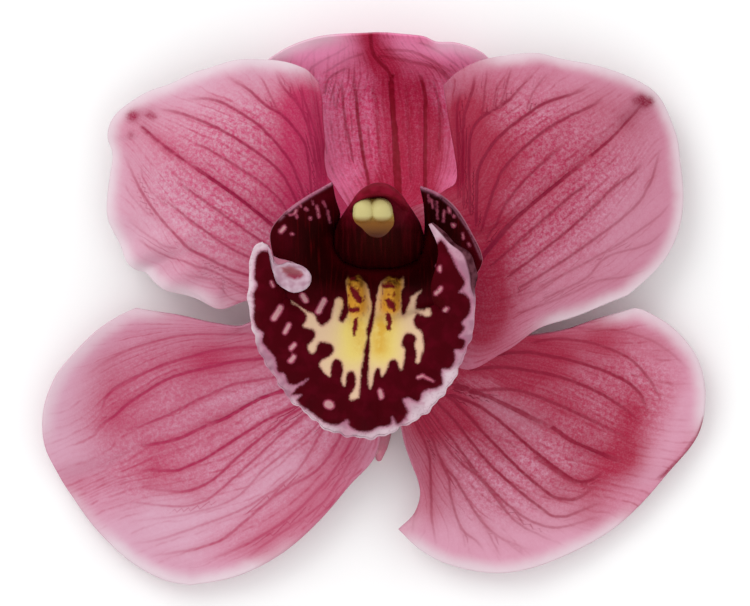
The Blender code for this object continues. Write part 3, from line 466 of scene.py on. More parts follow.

# Where each petal and sepal is a deeper colour, and where it is paler: strength, width and line. One pale
# stroke on the lower left sepal is a painted highlight.
DEEP = {
    "petal_left": [
        (1.0, 5.0, [(-4, 13), (-9, 14)]), (0.5, 5.0, [(-9, 20), (-15, 19), (-17, 19)]),
        (1.1, 3.8, [(-8.4, 17), (-9.0, 28), (-10, 33)]), (0.3, 1.2, [(-10, 12), (-22, 17.5), (-36, 28)]),
        (0.9, 4.4, [(-10, 21), (-13, 27), (-13, 32)]), (0.3, 4.0, [(-39, 29), (-34, 27)]),
        (0.25, 5.0, [(-26, 24), (-20, 25)]), (0.35, 4.0, [(-23, 11), (-20, 6)]),
    ],
    "petal_right": [
        (1.0, 6.0, [(5, 12), (11, 9)]), (0.6, 6.0, [(12, 7), (20, 12)]), (0.3, 4.0, [(16, 1), (24, 4)]),
        (1.0, 3.4, [(14.2, 16), (14.4, 28), (13.8, 31)]), (0.3, 1.2, [(10, 10), (24, 15), (38, 27)]),
        (0.8, 4.2, [(17, 33), (17, 28), (18, 20), (17, 14)]), (0.6, 3.5, [(22, 27), (22.3, 22)]),
        (1.2, 4.0, [(17.5, 9), (18, 3), (18, -4)]), (0.4, 3.0, [(18, 1), (21, -1)]),
        (0.35, 4.0, [(38, 33), (42, 30)]), (0.35, 4.5, [(27, 25), (30, 17)]),
        (0.25, 4.0, [(32, 28), (36, 24)]),
    ],
    "dorsal_sepal": [
        (0.9, 4.0, [(0, 16), (6, 18)]), (0.8, 4.0, [(2.4, 20), (2.6, 34)]),
        (1.0, 3.4, [(8, 19), (8, 30), (7, 36)]), (0.5, 3.0, [(11, 31), (11, 25)]),
        (0.3, 2.5, [(-3, 37), (3, 37)]), (0.3, 3.0, [(-5, 31), (-5, 25)]),
        (0.3, 1.6, [(-4, 40.2), (3, 40.8), (9, 40), (12.5, 38.2)]),
        (1.2, 2.2, [(-0.8, 46), (0.2, 43), (2.2, 40)]),
    ],
    "lateral_sepal_left": [
        (0.9, 4.0, [(-6, -4), (-10, -8)]), (0.4, 4.0, [(-25, -20), (-36, -25)]),
        (0.2, 3.5, [(-36, -25), (-44, -28), (-50, -30)]), (0.5, 3.0, [(-2, -14), (-4, -24)]),
        (0.6, 4.0, [(-20, -8), (-27, -9)]), (0.35, 3.5, [(-27, -8), (-36, -8.5)]),
        (0.5, 5.0, [(-44, -12), (-44, -19)]), (0.35, 5.0, [(-40, -17), (-32, -14)]),
        (0.45, 4.5, [(-7, -30), (-12, -35), (-18, -41)]), (0.4, 3.0, [(-36, -29), (-30, -30)]),
    ],
    "lateral_sepal_right": [
        (0.8, 5.0, [(6, -5), (10, -12), (8, -18)]), (0.3, 4.5, [(26, -19), (33, -22)]),
        (0.6, 4.0, [(16, -5), (30, -6), (38, -6)]), (0.3, 3.0, [(38, -5), (48, -6)]),
        (1.3, 4.0, [(16, -8), (24, -9)]), (0.5, 3.5, [(24, -8.5), (31, -9)]),
        (0.5, 4.0, [(24, -13), (33, -14)]), (0.35, 3.5, [(31, -17), (37, -18.5)]),
        (0.6, 3.0, [(13, -16), (16, -18.5)]), (0.5, 3.5, [(14, -20), (20, -23)]),
        (0.35, 4.0, [(40, -12), (44, -15)]), (0.85, 3.7, [(43, -19), (42, -25)]),
        (0.3, 3.5, [(42, -25), (38, -29)]), (0.35, 3.5, [(35.5, -23), (38, -27)]),
        (0.45, 3.5, [(31, -30), (36, -31), (36, -34)]), (0.45, 3.5, [(9, -21), (10, -27), (9, -33)]),
    ],
}
PALE = {
    "petal_left": [
        (0.7, 8.0, [(-40, 12), (-42, 22), (-34, 38)]), (0.4, 7.0, [(-26, 4), (-36, 8)]),
        (0.4, 4.0, [(-30, 38), (-18, 37)]),
    ],
    "petal_right": [
        (0.8, 8.0, [(48, 12), (49, 26), (40, 37)]), (0.75, 6.0, [(30, 2), (38, 6), (43, 13)]),
        (0.3, 4.0, [(26, 38), (34, 38)]), (0.2, 2.0, [(22, 15), (25, 17)]),
    ],
    "dorsal_sepal": [
        (1.0, 2.4, [(-16, 42), (-10, 43.4), (-5, 44)]), (0.5, 2.0, [(-11, 40.5), (-5, 41)]),
        (0.7, 1.8, [(5, 43.6), (10, 43), (18, 41)]), (0.2, 3.0, [(-7, 30), (-7, 36)]),
    ],
    "lateral_sepal_left": [
        (0.9, 7.0, [(-50, -9), (-54, -18), (-52.5, -23)]), (0.9, 6.0, [(-42, -38), (-32, -40)]),
        # A painted highlight along the sepal's glossy band
        (0.7, 3.5, [(-35, -34), (-24, -34), (-14, -27)]),
    ],
    "lateral_sepal_right": [
        (0.5, 3.5, [(47, -3), (54, -10), (54, -16)]), (1.0, 6.5, [(10, -38), (22, -40), (34, -38)]),
        (1.0, 3.0, [(53, -17), (49.5, -23), (45.5, -28.5)]), (0.5, 2.5, [(20, -16.5), (26, -19)]),
    ],
}
# Where the margins pale, in the same way
RIMS = {
    "petal_left": [
        (1.0, 5.0, [(-19, 41), (-37, 36), (-44.5, 28), (-44, 15), (-40, 7), (-30, 2)]),
        (0.7, 3.0, [(-13, 41), (-18, 41)]),
    ],
    "petal_right": [
        (1.0, 5.0, [(23, 42), (30, 42.5), (44, 38), (51, 29), (51.8, 18), (48.6, 7), (42, 2), (32, -2)]),
    ],
    "dorsal_sepal": [(0.8, 3.0, [(-17, 42), (-8, 45)]), (0.6, 2.5, [(12, 44), (20, 41)])],
    "lateral_sepal_left": [
        (0.7, 4.0, [(-38, 0), (-50, -8), (-55.5, -18)]), (0.4, 2.5, [(-50, -33), (-43, -41)]),
        (1.0, 3.5, [(-42, -42), (-30, -46.7), (-22, -45)]), (0.4, 3.0, [(-22, -45), (-15, -41)]),
    ],
    "lateral_sepal_right": [
        (1.0, 4.0, [(42, 0), (54, -8), (55.6, -17)]),
        (1.0, 4.0, [(8, -41), (12, -43), (25, -44.5), (40, -38)]),
    ],
}
# How strongly each is mottled
MOTTLE = {
    "petal_left": 1.15,
    "petal_right": 1.15,
    "dorsal_sepal": 1.25,
    "lateral_sepal_left": 0.5,
    "lateral_sepal_right": 0.85,
}
# Pale, pink, deep and vein colour of each petal and sepal. The dorsal sepal's are brighter partly as painted
# light against the shade the petals cast on it, and the right petal's are darker than the left's partly as
# painted shade.
TONES = {
    "petal_left": ((0.63, 0.38, 0.48), (0.55, 0.09, 0.20), (0.45, 0.012, 0.08), (0.28, 0.003, 0.045)),
    "petal_right": ((0.58, 0.26, 0.36), (0.44, 0.045, 0.12), (0.32, 0.005, 0.034), (0.21, 0.001, 0.026)),
    "dorsal_sepal": ((1.0, 0.40, 0.66), (0.90, 0.08, 0.26), (0.43, 0.006, 0.045), (0.24, 0.001, 0.015)),
    "lateral_sepal_left": (
        (0.67, 0.42, 0.54), (0.53, 0.07, 0.17), (0.41, 0.014, 0.07), (0.37, 0.012, 0.07)
    ),
    "lateral_sepal_right": (
        (0.68, 0.36, 0.48), (0.50, 0.055, 0.135), (0.35, 0.007, 0.04), (0.25, 0.004, 0.03)
    ),
}
# Each petal's and sepal's name in the scene, its margins and the height of its base
TEPALS = {
    "petal_left": ("left_petal", PETAL_LEFT, PETAL_BASE_Z),
    "petal_right": ("right_petal", PETAL_RIGHT, PETAL_BASE_Z),
    "dorsal_sepal": ("top_sepal", DORSAL_SEPAL, SEPAL_BASE_Z),
    "lateral_sepal_left": ("lower_left_sepal", LATERAL_SEPAL_LEFT, SEPAL_BASE_Z),
    "lateral_sepal_right": ("lower_right_sepal", LATERAL_SEPAL_RIGHT, SEPAL_BASE_Z),
}
# Dark spots and dashes
SPOTS = {
    "petal_left": [
        (1.0, 0.85, [(-40.1, 31.5), (-39.8, 31.4)]), (0.7, 0.4, [(-37.2, 31.8), (-36.2, 31.3)]),
        (0.6, 0.5, [(-40.2, 28.7), (-40, 28.5)]), (1.0, 0.4, [(-38.2, 29.7), (-37.4, 28.9)]),
        (0.9, 0.35, [(-37.2, 28.8), (-35.7, 27.3)]), (1.0, 0.45, [(-34.5, 26.4), (-33.4, 25.6)]),
        (1.0, 0.4, [(-32.4, 24.9), (-31.6, 24.3)]), (0.35, 1.2, [(-39.5, 32), (-37, 32)]),
    ],
    "petal_right": [
        (1.0, 0.85, [(46, 34.1), (45.2, 33.9)]), (0.6, 0.7, [(44.6, 34.8), (43.5, 34.2)]),
        (0.4, 1.8, [(45, 33.5), (42, 31)]),
    ],
    "dorsal_sepal": [],
    "lateral_sepal_left": [],
    "lateral_sepal_right": [(1.0, 0.3, [(55.4, -18.5), (54.2, -21.4), (51.7, -25), (48, -28.4)])],
}

# The lip's markings, drawn as they look beside the tepals: the pale middle on either side of the dark
# centre line, the maroon ground, and the pale marks and dark blotches with their two ends and radius
CENTRE_LEFT = [
    (-13.8, 0.9), (-12.8, 0.2), (-11.7, -0.6), (-10.5, -1.3), (-9.7, -1.8), (-9.4, -2.8), (-8.7, -3.4),
    (-8.1, -3.1), (-7.2, -2.3), (-7.1, -1.5), (-6.8, -0.3), (-6.6, 0.9), (-6.2, 1.3), (-5.6, 1.3),
    (-5.1, 0.5), (-5.2, -0.5), (-5.7, -1.8), (-5.8, -2.4), (-5.1, -2.7), (-4.6, -2.1), (-4.2, -1.3),
    (-3.9, -0.9), (-4.1, 0.7), (-4.3, 2.1), (-4.8, 3.6), (-4.3, 4.8), (-3.4, 4.2), (-2.6, 5.2), (-1.9, 4),
    (-1, 2.8), (-0.4, 0.5), (-0.3, -0.6), (-0.6, -2.3), (-1.1, -3.9), (-1.1, -5.6), (-1.5, -7.2),
    (-1.7, -8.9), (-2, -10.5), (-2.1, -12.2), (-2.3, -13.8), (-2.4, -15.1), (-2.9, -15.5), (-3.8, -15.5),
    (-3.9, -14.8), (-3.3, -14), (-2.9, -12.8), (-3, -11.7), (-3.3, -11), (-3.9, -10.9), (-4.4, -11.3),
    (-4.6, -12.7), (-4.8, -13.3), (-5.3, -13), (-5.3, -11.8), (-5.1, -10.5), (-5.4, -9.4), (-6, -8.9),
    (-6.6, -9), (-7, -9.9), (-7.1, -11), (-7.2, -11.7), (-7.7, -11.5), (-8.7, -10.5), (-9.1, -9.5),
    (-8.7, -9), (-7.7, -8.5), (-6.9, -7.9), (-6.7, -7.1), (-7.2, -6.4), (-8.2, -6.1), (-9.2, -6.1),
    (-9.5, -6.7), (-9.9, -7.7), (-10.3, -7.9), (-10.9, -7.4), (-11.1, -6.6), (-10.6, -6.1), (-10, -5.4),
    (-9.8, -4.6), (-10.4, -4), (-11.4, -3.8), (-11.9, -3.4), (-11.5, -2.8), (-11.3, -1.9), (-11.7, -1.1),
    (-12.8, -0.1), (-13.8, 0.4),
]
CENTRE_RIGHT = [
    (2.0, 4.1), (1.3, 3.3), (0.8, 2), (0.5, 0.5), (0.4, -0.6), (0.2, -2.3), (-0.2, -3.9), (-0.6, -5.6),
    (-0.6, -7.2), (-0.8, -8.9), (-0.9, -10.5), (-1, -12.2), (-0.9, -13.5), (-0.6, -13.9), (-0.1, -12.8),
    (0.1, -11.7), (0.4, -10.9), (0.9, -10.4), (1.3, -10.5), (1.5, -11.5), (1.7, -11.8), (2.1, -11.3),
    (2.5, -10.4), (2.8, -9.5), (3.3, -9), (3.8, -9), (4.3, -9.5), (4.5, -10.2), (4.8, -10.6), (5.1, -10.4),
    (5.5, -7.9), (5.5, -7.2), (5, -6.6), (5.1, -5.9), (5.4, -5.1), (5.9, -4.6), (6.9, -4.9), (7.4, -5.6),
    (7.1, -6.4), (7.2, -7.1), (7.4, -7.9), (7.3, -9.1), (7.6, -9.5), (8, -9.2), (8.3, -7.9), (8.7, -7.1),
    (8.5, -5.4), (8.4, -4.4), (7.4, -3.6), (7, -2.9), (7.1, -2.1), (7.4, -1.5), (8.4, -1.6), (9.2, -1.9),
    (9.8, -1.8), (9.9, -0.8), (9.2, -0.6), (8.8, -0.9), (7.6, -0.9), (7.3, -0.5), (7.4, 0.7), (7.6, 1.3),
    (8.4, 2.7), (7.8, 2.3), (6.9, 1.7), (6.4, 1.3), (6.3, 0.5), (5.8, -0.6), (5.5, -1.6), (5.1, -1.9),
    (4.8, -1.3), (4.7, 0.2), (4.6, 2.1), (5.3, 3.3), (5.2, 4.7), (4.2, 4), (3.3, 5.1),
]
MAROON = [
    (-18.4, 9.2), (-19.2, 8.7), (-19.5, 6.9), (-19.6, 4.8), (-19.2, 3.6), (-19.8, 2.1), (-19.6, -0.2),
    (-19.8, -2), (-19.3, -3.5), (-18.3, -4.3), (-18.3, -5.9), (-17.2, -7.4), (-16.3, -8.6), (-15.7, -11),
    (-14.7, -11.3), (-14.2, -12.8), (-12.8, -12.9), (-10.8, -12), (-11.6, -12.8), (-12.8, -13.8),
    (-13.7, -14.8), (-12.8, -14.8), (-11.9, -14.7), (-12.6, -15.6), (-12.3, -16.3), (-11.4, -17),
    (-10.2, -17.8), (-9.1, -18.6), (-8.1, -19.4), (-6.7, -19.8), (-5.9, -19.7), (-4.9, -19.3), (-4, -18.9),
    (-3.9, -19.9), (-3.1, -20.6), (-1.6, -21), (-0.2, -20.8), (1, -20.2), (2.7, -19.9), (3, -19.3),
    (3.1, -18.4), (3.6, -19.1), (3.9, -19.7), (4.8, -19.4), (5.6, -18.6), (5.9, -17.6), (5.6, -16.6),
    (5.2, -15.5), (5.8, -15.2), (6.6, -15.6), (7.4, -15.9), (8.1, -15.1), (8.3, -14.3), (9.2, -13.8),
    (10.6, -13.7), (10.8, -13.5), (11.6, -12.8), (11.6, -10.4), (12.8, -10.4), (13.7, -8.6), (13.7, -7.1),
    (14.9, -7.1), (15.2, -5.6), (14.2, -5), (15.2, -3.5), (14.8, -2.6), (16, -1.1), (16.1, 0.6),
    (15.2, 2.1), (14.3, 2.4), (15.2, 3.6), (14.9, 4.8), (14, 6.3), (13.4, 7.8), (12.5, 9.3), (11.9, 10.5),
    (11.2, 11.1), (10.6, 10.5),
]
MARKS = [
    (-8.4, 0.9, -9.3, -1.0, 0.53), (-11.9, 1.8, -11.4, 0.9, 0.49), (-15.7, -0.4, -16.6, -1.9, 0.54),
    (-14.2, -3.2, -14.8, -4.3, 0.42), (-13.2, -6.4, -13.7, -6.9, 0.42), (-13.2, -8.3, -13.7, -9.0, 0.42),
    (-7.4, -16.3, -7.3, -16.4, 0.73), (1.4, -14.1, 1.6, -15.1, 0.43), (7.6, -11.8, 8.4, -11.5, 0.3),
    (8.4, -11.5, 9.9, -12.4, 0.2), (11.2, 6.6, 11.3, 6.1, 0.36), (10.8, 2.3, 11.5, 2.9, 0.39),
    (11.5, 2.9, 11.6, 3.2, 0.3), (12.2, -0.7, 12.5, -0.3, 0.39), (-17.2, 4.1, -16.9, 3.3, 0.24),
    (-15.4, 12.5, -14.8, 13.2, 0.37), (-13.7, 12.1, -13.6, 12.1, 0.24), (-14.0, 15.2, -13.1, 15.4, 0.14),
    (-13.2, 15.4, -12.8, 16.1, 0.2), (-12.8, 15.2, -12.8, 14.8, 0.14), (-11.3, 16.3, -11.2, 16.2, 0.24),
    (-10.7, 14.8, -10.7, 14.8, 0.27), (-9.5, 16.8, -9.3, 15.0, 0.19), (-8.5, 17.5, -8.1, 16.7, 0.14),
    (-7.8, 16.0, -7.5, 14.2, 0.15), (10.8, 17.5, 11.0, 14.8, 0.12), (12.0, 16.0, 12.0, 14.3, 0.16),
    (12.7, 16.4, 12.9, 15.8, 0.21), (13.6, 15.2, 13.7, 14.9, 0.14), (13.5, 13.7, 13.7, 13.5, 0.28),
    (15.1, 12.2, 15.2, 11.4, 0.18), (9.3, 18.6, 9.5, 17.6, 0.13), (9.9, 17.9, 10.1, 16.6, 0.11),
    (16.0, 10.6, 16.2, 10.1, 0.16), (-10.2, 17.6, -10.1, 17.0, 0.13), (-12.2, 16.9, -12.1, 16.6, 0.14),
]
BLOTCHES = [
    (-3.3, 2.7, -2.5, 0.9, 0.36), (-3.6, -0.7, -2.8, -0.5, 0.36), (-2.9, -2.4, -3.1, -3.9, 0.36),
    (-3.2, -3.9, -3.3, -4.9, 0.2), (2.7, 0.9, 3.1, -0.1, 0.36), (2.6, -1.6, 2.8, -3.9, 0.36),
    (-3.7, 4.2, -3.2, 4.2, 0.23), (2.1, 3.2, 3.2, 3.1, 0.26),
]
# The pale edges of the side lobes: strength, width and line
LOBE_EDGES = [
    (1.1, 0.24, [(-6.8, 20.6), (-8.4, 19.7), (-10.1, 18.7), (-12.0, 17.5), (-14.0, 16.0)]),
    (0.5, 0.2, [(-14.0, 16.0), (-15.6, 14.4)]),
    (0.8, 0.3, [(7.9, 19.9), (9.4, 19.4), (10.8, 18.7)]),
    (0.4, 0.18, [(10.8, 18.7), (13.6, 16.3), (16.2, 12.4), (18.1, 8.0)]),
]
# Soft tints of the lip: the yellow middle and its orange glow, the keels' amber, the whitest parts of the
# margin with painted highlights, painted light round the column's foot and painted shade in the throat
LIP_TINTS = {
    "gold": [
        (1.0, 3.2, [(-3.2, -5.2), (-3.4, -7.5)]), (1.0, 3.0, [(2.5, -4.5), (2.3, -7.5)]),
        (0.5, 2.5, [(-3, 0), (-3, -3)]),
    ],
    "glow": [
        (0.9, 1.5, [(1.2, -3.4), (1.3, -7)]), (0.6, 1.5, [(-2.4, -4), (-2, -6.5)]),
        (0.5, 1.5, [(-2.6, 0), (-3, -2)]), (0.5, 1.5, [(2.8, 0), (2.6, -3)]),
    ],
    "amber": [(1.2, 2.0, [(-3.2, 5), (-2.9, 0)]), (1.2, 2.0, [(3.6, 5), (3, 0)])],
    "glint": [
        (1.0, 1.6, [(7, -18.4), (11.5, -14), (13, -11)]), (0.9, 1.5, [(-12.5, -16.6), (-7, -20.4)]),
        (1.0, 1.4, [(-18.6, 10.4), (-20.2, 7), (-20.2, -5)]), (0.9, 1.2, [(-2, -21.6), (4, -20.6)]),
        (0.5, 1.2, [(10, 13), (12, 10.5)]),
    ],
    "foot": [(1.0, 1.3, [(-7, 11), (-6, 8.2), (-3, 6), (1, 5.2), (5, 6), (8, 8.2), (9, 11)])],
    "shade": [
        (1.0, 6.0, [(-4, 9), (0, 7), (5, 9)]), (0.8, 5.0, [(-11, 13), (-9, 6)]),
        (1.0, 4.0, [(11.5, 17.5), (12, 12), (8, 6)]),
    ],
}
# The last two are on the throat and the side lobes alone
THROAT_TINTS = ("foot", "shade")

# Colours of the lip
MAUVE = (0.36, 0.16, 0.23)
# The margin's near white, laid on partly as its own colour and partly as painted highlights
MARGIN_WHITE_AND_HIGHLIGHT = (0.66, 0.51, 0.57)
ROSE = (0.42, 0.1, 0.19)
WINE = (0.1, 0.0008, 0.008)
# Painted light: a lighter wine that lifts the shade round the column's foot
FOOT_PAINTED_LIGHT = (0.09, 0.001, 0.004)
# Painted shade in the throat and the side lobes: near black, with faint streaks
THROAT_SHADE = (0.016, 0.0001, 0.0003)
THROAT_SHADE_STREAK = (0.06, 0.0006, 0.002)
MARK_EDGE = (0.4, 0.07, 0.13)
MARK_MIDDLE = (0.52, 0.26, 0.28)
CREAM = (0.69, 0.48, 0.32)
ORANGE = (0.64, 0.37, 0.05)
BLUSH = (0.58, 0.26, 0.22)
RUST = (0.2, 0.012, 0.008)
KEEL_AMBER = (0.62, 0.28, 0.03)
BLOTCH = (0.14, 0.006, 0.01)
CURL_MAUVE = (0.4, 0.22, 0.29)
CURL_PALE = (0.58, 0.42, 0.5)
DISH_NEAR = (0.3, 0.035, 0.08)
DISH_FAR = (0.42, 0.14, 0.17)
# Painted shade on the rolled margin, in darker and paler patches
ROLL_SHADE_DARK = (0.035, 0.004, 0.008)
ROLL_SHADE_PALE = (0.12, 0.035, 0.05)
LIP_OUTSIDE = (0.4, 0.14, 0.2)

# Colours of the column, the cap and the pedicel
HOOD_WINE = (0.13, 0.002, 0.009)
# The column's nearly black foot: partly its own colour and partly painted shade, like the throat round it
COLUMN_DARK_AND_SHADE = (0.02, 0.0002, 0.0008)
COLUMN_STREAK = (0.055, 0.001, 0.003)
# Painted shade on the cap's lobes, darkest at their rims and in the groove between them
CAP_RIM_SHADE = (0.33, 0.21, 0.04)
CAP_OLIVE = (0.2, 0.07, 0.005)
CAP_LOW = (0.06, 0.009, 0.002)
PEDICEL_PINK = (0.62, 0.17, 0.26)
PEDICEL_PALE = (0.6, 0.25, 0.3)
PEDICEL_FLECK = (0.68, 0.38, 0.4)

# The stage, in metres and degrees
FLOOR_HALF = 1.5
LAMP_SIZE = 0.6
LAMP_PLACE = (-0.45, 0.5, 0.8)
LAMP_TILT = (-32, -29, 0)
CAMERA_XY = (0.000333, 0.0005)


class Curve:
    """A smooth curve through given points, read by the fraction of its length.

    With halfway given, the point of that index is at fraction 0.5."""

    STEPS = 12

    def __init__(self, points, halfway=None):
        knots = np.array(points, float)
        gaps = np.linalg.norm(np.diff(knots, axis=0), axis=1)[:, None]
        slopes = np.empty_like(knots)
        slopes[0] = (knots[1] - knots[0]) / gaps[0]
        slopes[-1] = (knots[-1] - knots[-2]) / gaps[-1]
        slopes[1:-1] = (knots[2:] - knots[:-2]) / (gaps[1:] + gaps[:-1])
        u = np.linspace(0.0, 1.0, self.STEPS, endpoint=False)[:, None]
        spans = [
            (2 * u**3 - 3 * u**2 + 1) * knots[i]
            + (u**3 - 2 * u**2 + u) * gaps[i] * slopes[i]
            + (3 * u**2 - 2 * u**3) * knots[i + 1]
            + (u**3 - u**2) * gaps[i] * slopes[i + 1]
            for i in range(len(knots) - 1)
        ]
        self.points = np.vstack([*spans, knots[-1:]])
        run = np.concatenate([[0.0], np.cumsum(np.linalg.norm(np.diff(self.points, axis=0), axis=1))])
        if halfway is None:
            self.fraction = run / run[-1]
        else:
            self.fraction = np.interp(run, (0, run[halfway * self.STEPS], run[-1]), (0, 0.5, 1))

    def at(self, fraction):
        """The places at these fractions of its length."""
        return np.stack([np.interp(fraction, self.fraction, axis) for axis in self.points.T], axis=-1)


def rim_arc(angles, z):
    """The line along which a tepal stands on the ovary's rim."""
    turn = np.radians(np.linspace(*angles, 5))
    reach = OVARY_RADIUS + SEAT_GAP
    x = OVARY_CENTRE[0] + reach * np.cos(turn)
    y = OVARY_CENTRE[1] + reach * np.sin(turn)
    return [tuple(p) for p in np.stack([x, y, np.full_like(x, z)], axis=-1)]


def four_sided(base, side_a, side_b, tip):
    """A surface between four curves: s runs from base to tip, t from side_a to side_b."""

    def place(s, t):
        s1 = s[:, None]
        t1 = t[:, None]
        corners = (
            (1 - s1) * (1 - t1) * base.at(0.0)
            + (1 - s1) * t1 * base.at(1.0)
            + s1 * (1 - t1) * tip.at(0.0)
            + s1 * t1 * tip.at(1.0)
        )
        across = (1 - t1) * side_a.at(s) + t1 * side_b.at(s)
        along = (1 - s1) * base.at(t) + s1 * tip.at(t)
        return across + along - corners

    return place


def tepal_surface(shape, base_z):
    """A tepal's middle surface: four margins, drawn onto its midrib."""
    rim = rim_arc(shape["base_angles"], base_z)
    base = Curve(rim)
    side_a = Curve([rim[0], *shape["side_a"]])
    side_b = Curve([rim[-1], *shape["side_b"]])
    tip = Curve(shape["tip"], halfway=shape["apex"])
    midrib = Curve([rim[2], *shape["midrib"]])
    margins = four_sided(base, side_a, side_b, tip)

    def place(s, t):
        pull = (4 * t * (1 - t))[:, None]
        return margins(s, t) + pull * (midrib.at(s) - margins(s, np.full_like(s, 0.5)))

    return place


def nearer(points):
    """Places drawn beside the tepals, brought in to where they stand."""
    return points * (NEARER_SCALE, NEARER_SCALE, 1.0)


def throat_surface():
    """The throat and the side lobes: s runs from the back edge to the fold, t from left to right."""
    back, front = Curve(LIP_BACK, halfway=6), Curve(LIP_FRONT, halfway=3)
    sheet = four_sided(back, Curve(LIP_LEFT), Curve(LIP_RIGHT), front)

    def place(s, t):
        points = sheet(s, t)
        points[:, 2] += keel_height(points[:, 0], points[:, 1])
        return nearer(points)

    return place


def keel_height(x, y):
    """Two low ridges side by side on the throat's floor."""
    rise = np.clip((y - KEEL_Y[0]) / KEEL_RISE, 0, 1)
    fall = np.clip((KEEL_Y[1] + KEEL_FALL - y) / KEEL_FALL, 0, 1)
    return KEEL_HEIGHT * rise * fall * sum(np.exp(-(((x - keel) / KEEL_WIDTH) ** 2)) for keel in KEEL_X)


def midlobe_surface(t_notches):
    """The midlobe and its two ears: s runs from its inner edge to its frilled margin, t from ear to ear."""
    ear_left = Curve(EAR_LEFT)
    ear_right = Curve(EAR_RIGHT)
    front = Curve(LIP_FRONT, halfway=3)
    margin = Curve(MIDLOBE_MARGIN)
    left_end, right_end = t_notches

    def place(s, t):
        inner = front.at(np.interp(t, t_notches, (0, 1)))
        inner = np.where((t < left_end)[:, None], ear_left.at(t / left_end), inner)
        inner = np.where((t > right_end)[:, None], ear_right.at((t - right_end) / (1 - right_end)), inner)
        outer = margin.at(np.interp(t, (0, left_end, right_end, 1), (0, *MARGIN_AT_NOTCHES, 1)))
        s1 = s[:, None]
        points = (1 - s1) * inner + s1 * outer
        x, y = points[:, 0], points[:, 1]
        front_part = np.clip((DOME_FADE_Y - y) / DOME_FADE_Y, 0, 1)
        points[:, 2] += MIDLOBE_DOME * np.sin(np.pi * s) * front_part
        points[:, 2] -= MIDLOBE_GROOVE * s * np.exp(-(((x - GROOVE_X) / GROOVE_WIDTH) ** 2))
        calm_at_ears = np.sin(np.pi * t) ** 0.5
        ripple = sum(reach * np.sin(2 * np.pi * count * t + count) for count, reach in MARGIN_RIPPLES)
        points[:, :2] += (points[:, :2] - LIP_MIDDLE) * (s**3 * ripple * calm_at_ears)[:, None]
        points[:, 2] += FRILL_HEIGHT * s**4 * np.sin(2 * np.pi * FRILL_COUNT * t) * calm_at_ears
        return nearer(points)

    return place


def distance_to_path(points, path):
    """How far each point is from a line, and how far along it its nearest place is, as a fraction."""
    path = np.asarray(path, float)
    starts, steps = path[:-1], np.diff(path, axis=0)
    lengths = np.linalg.norm(steps, axis=1)
    run = np.concatenate([[0.0], np.cumsum(lengths)])
    best = np.full(len(points), np.inf)
    along = np.zeros(len(points))
    for start, step, length, before in zip(starts, steps, lengths, run):
        if length == 0:
            continue
        u = np.clip((points - start) @ step / length**2, 0, 1)
        away = np.linalg.norm(points - start - u[:, None] * step, axis=1)
        closer = away < best
        best = np.where(closer, away, best)
        along = np.where(closer, (before + u * length) / run[-1], along)
    return best, along


def away_from(points, line):
    """How far each point is from a line, seen from above."""
    return distance_to_path(points, [place[:2] for place in line])[0]


def painted(points, strokes):
    """The sum of soft strokes, each with a strength, a width and a line."""
    total = np.zeros(len(points))
    for strength, width, path in strokes:
        total += strength * np.exp(-((away_from(points, path) / width) ** 2))
    return total


def tinted(points, strokes):
    """The same sum, held between 0 and 1."""
    return np.clip(painted(points, strokes), 0, 1)


def inside(points, outline):
    """The distance into a closed outline, negative outside it."""
    outline = np.asarray(outline, float)
    ends = np.roll(outline, -1, axis=0)
    x, y = points.T
    crossings = np.zeros(len(points), int)
    for (x0, y0), (x1, y1) in zip(outline, ends):
        if y0 == y1:
            continue
        spans = (y0 > y) != (y1 > y)
        crossings += spans & (x < x0 + (y - y0) * (x1 - x0) / (y1 - y0))
    away = away_from(points, [*outline, outline[0]])
    return np.where(crossings % 2 == 1, away, -away)


def dots(points, marks):
    """The distance into the nearest of several rounded marks, which have two ends and a radius each."""
    depth = np.full(len(points), -99.0)
    for x0, y0, x1, y1, radius in marks:
        depth = np.maximum(depth, radius - away_from(points, [(x0, y0), (x1 + 0.01, y1)]))
    return depth


def grid(rows, columns):
    """The fractions s and t at a grid's points, and its four-cornered faces."""
    s, t = np.meshgrid(np.linspace(0, 1, rows + 1), np.linspace(0, 1, columns + 1), indexing="ij")
    index = np.arange(s.size).reshape(s.shape)
    faces = np.stack([index[:-1, :-1], index[1:, :-1], index[1:, 1:], index[:-1, 1:]], axis=-1)
    return s.ravel(), t.ravel(), faces.reshape(-1, 4)


def normals_of(points, faces):
    """The normal at each point, from the faces round it."""
    a, b, c, d = (points[faces[:, k]] for k in range(4))
    face_normals = np.cross(c - a, d - b)
    normals = np.stack(
        [sum(np.bincount(faces[:, k], axis, len(points)) for k in range(4)) for axis in face_normals.T],
        axis=-1,
    )
    return normals / np.maximum(np.linalg.norm(normals, axis=1), 1e-12)[:, None]


def facing_up(points, faces):
    """The faces, turned over if they face away from the viewer."""
    return faces if normals_of(points, faces)[:, 2].sum() > 0 else faces[:, ::-1]


def relaxed(points, faces, weight, rounds):
    """Points drawn towards the middle of their neighbours, where weight isn't 0."""
    pairs = np.vstack([faces[:, [k, (k + 1) % 4]] for k in range(4)])
    pairs = np.vstack([pairs, pairs[:, ::-1]])
    count = np.bincount(pairs[:, 0], minlength=len(points))[:, None]
    for _ in range(rounds):
        sums = [np.bincount(pairs[:, 0], axis[pairs[:, 1]], len(points)) for axis in points.T]
        total = np.stack(sums, axis=-1)
        points = points + weight[:, None] * (total / np.maximum(count, 1) - points)
    return points


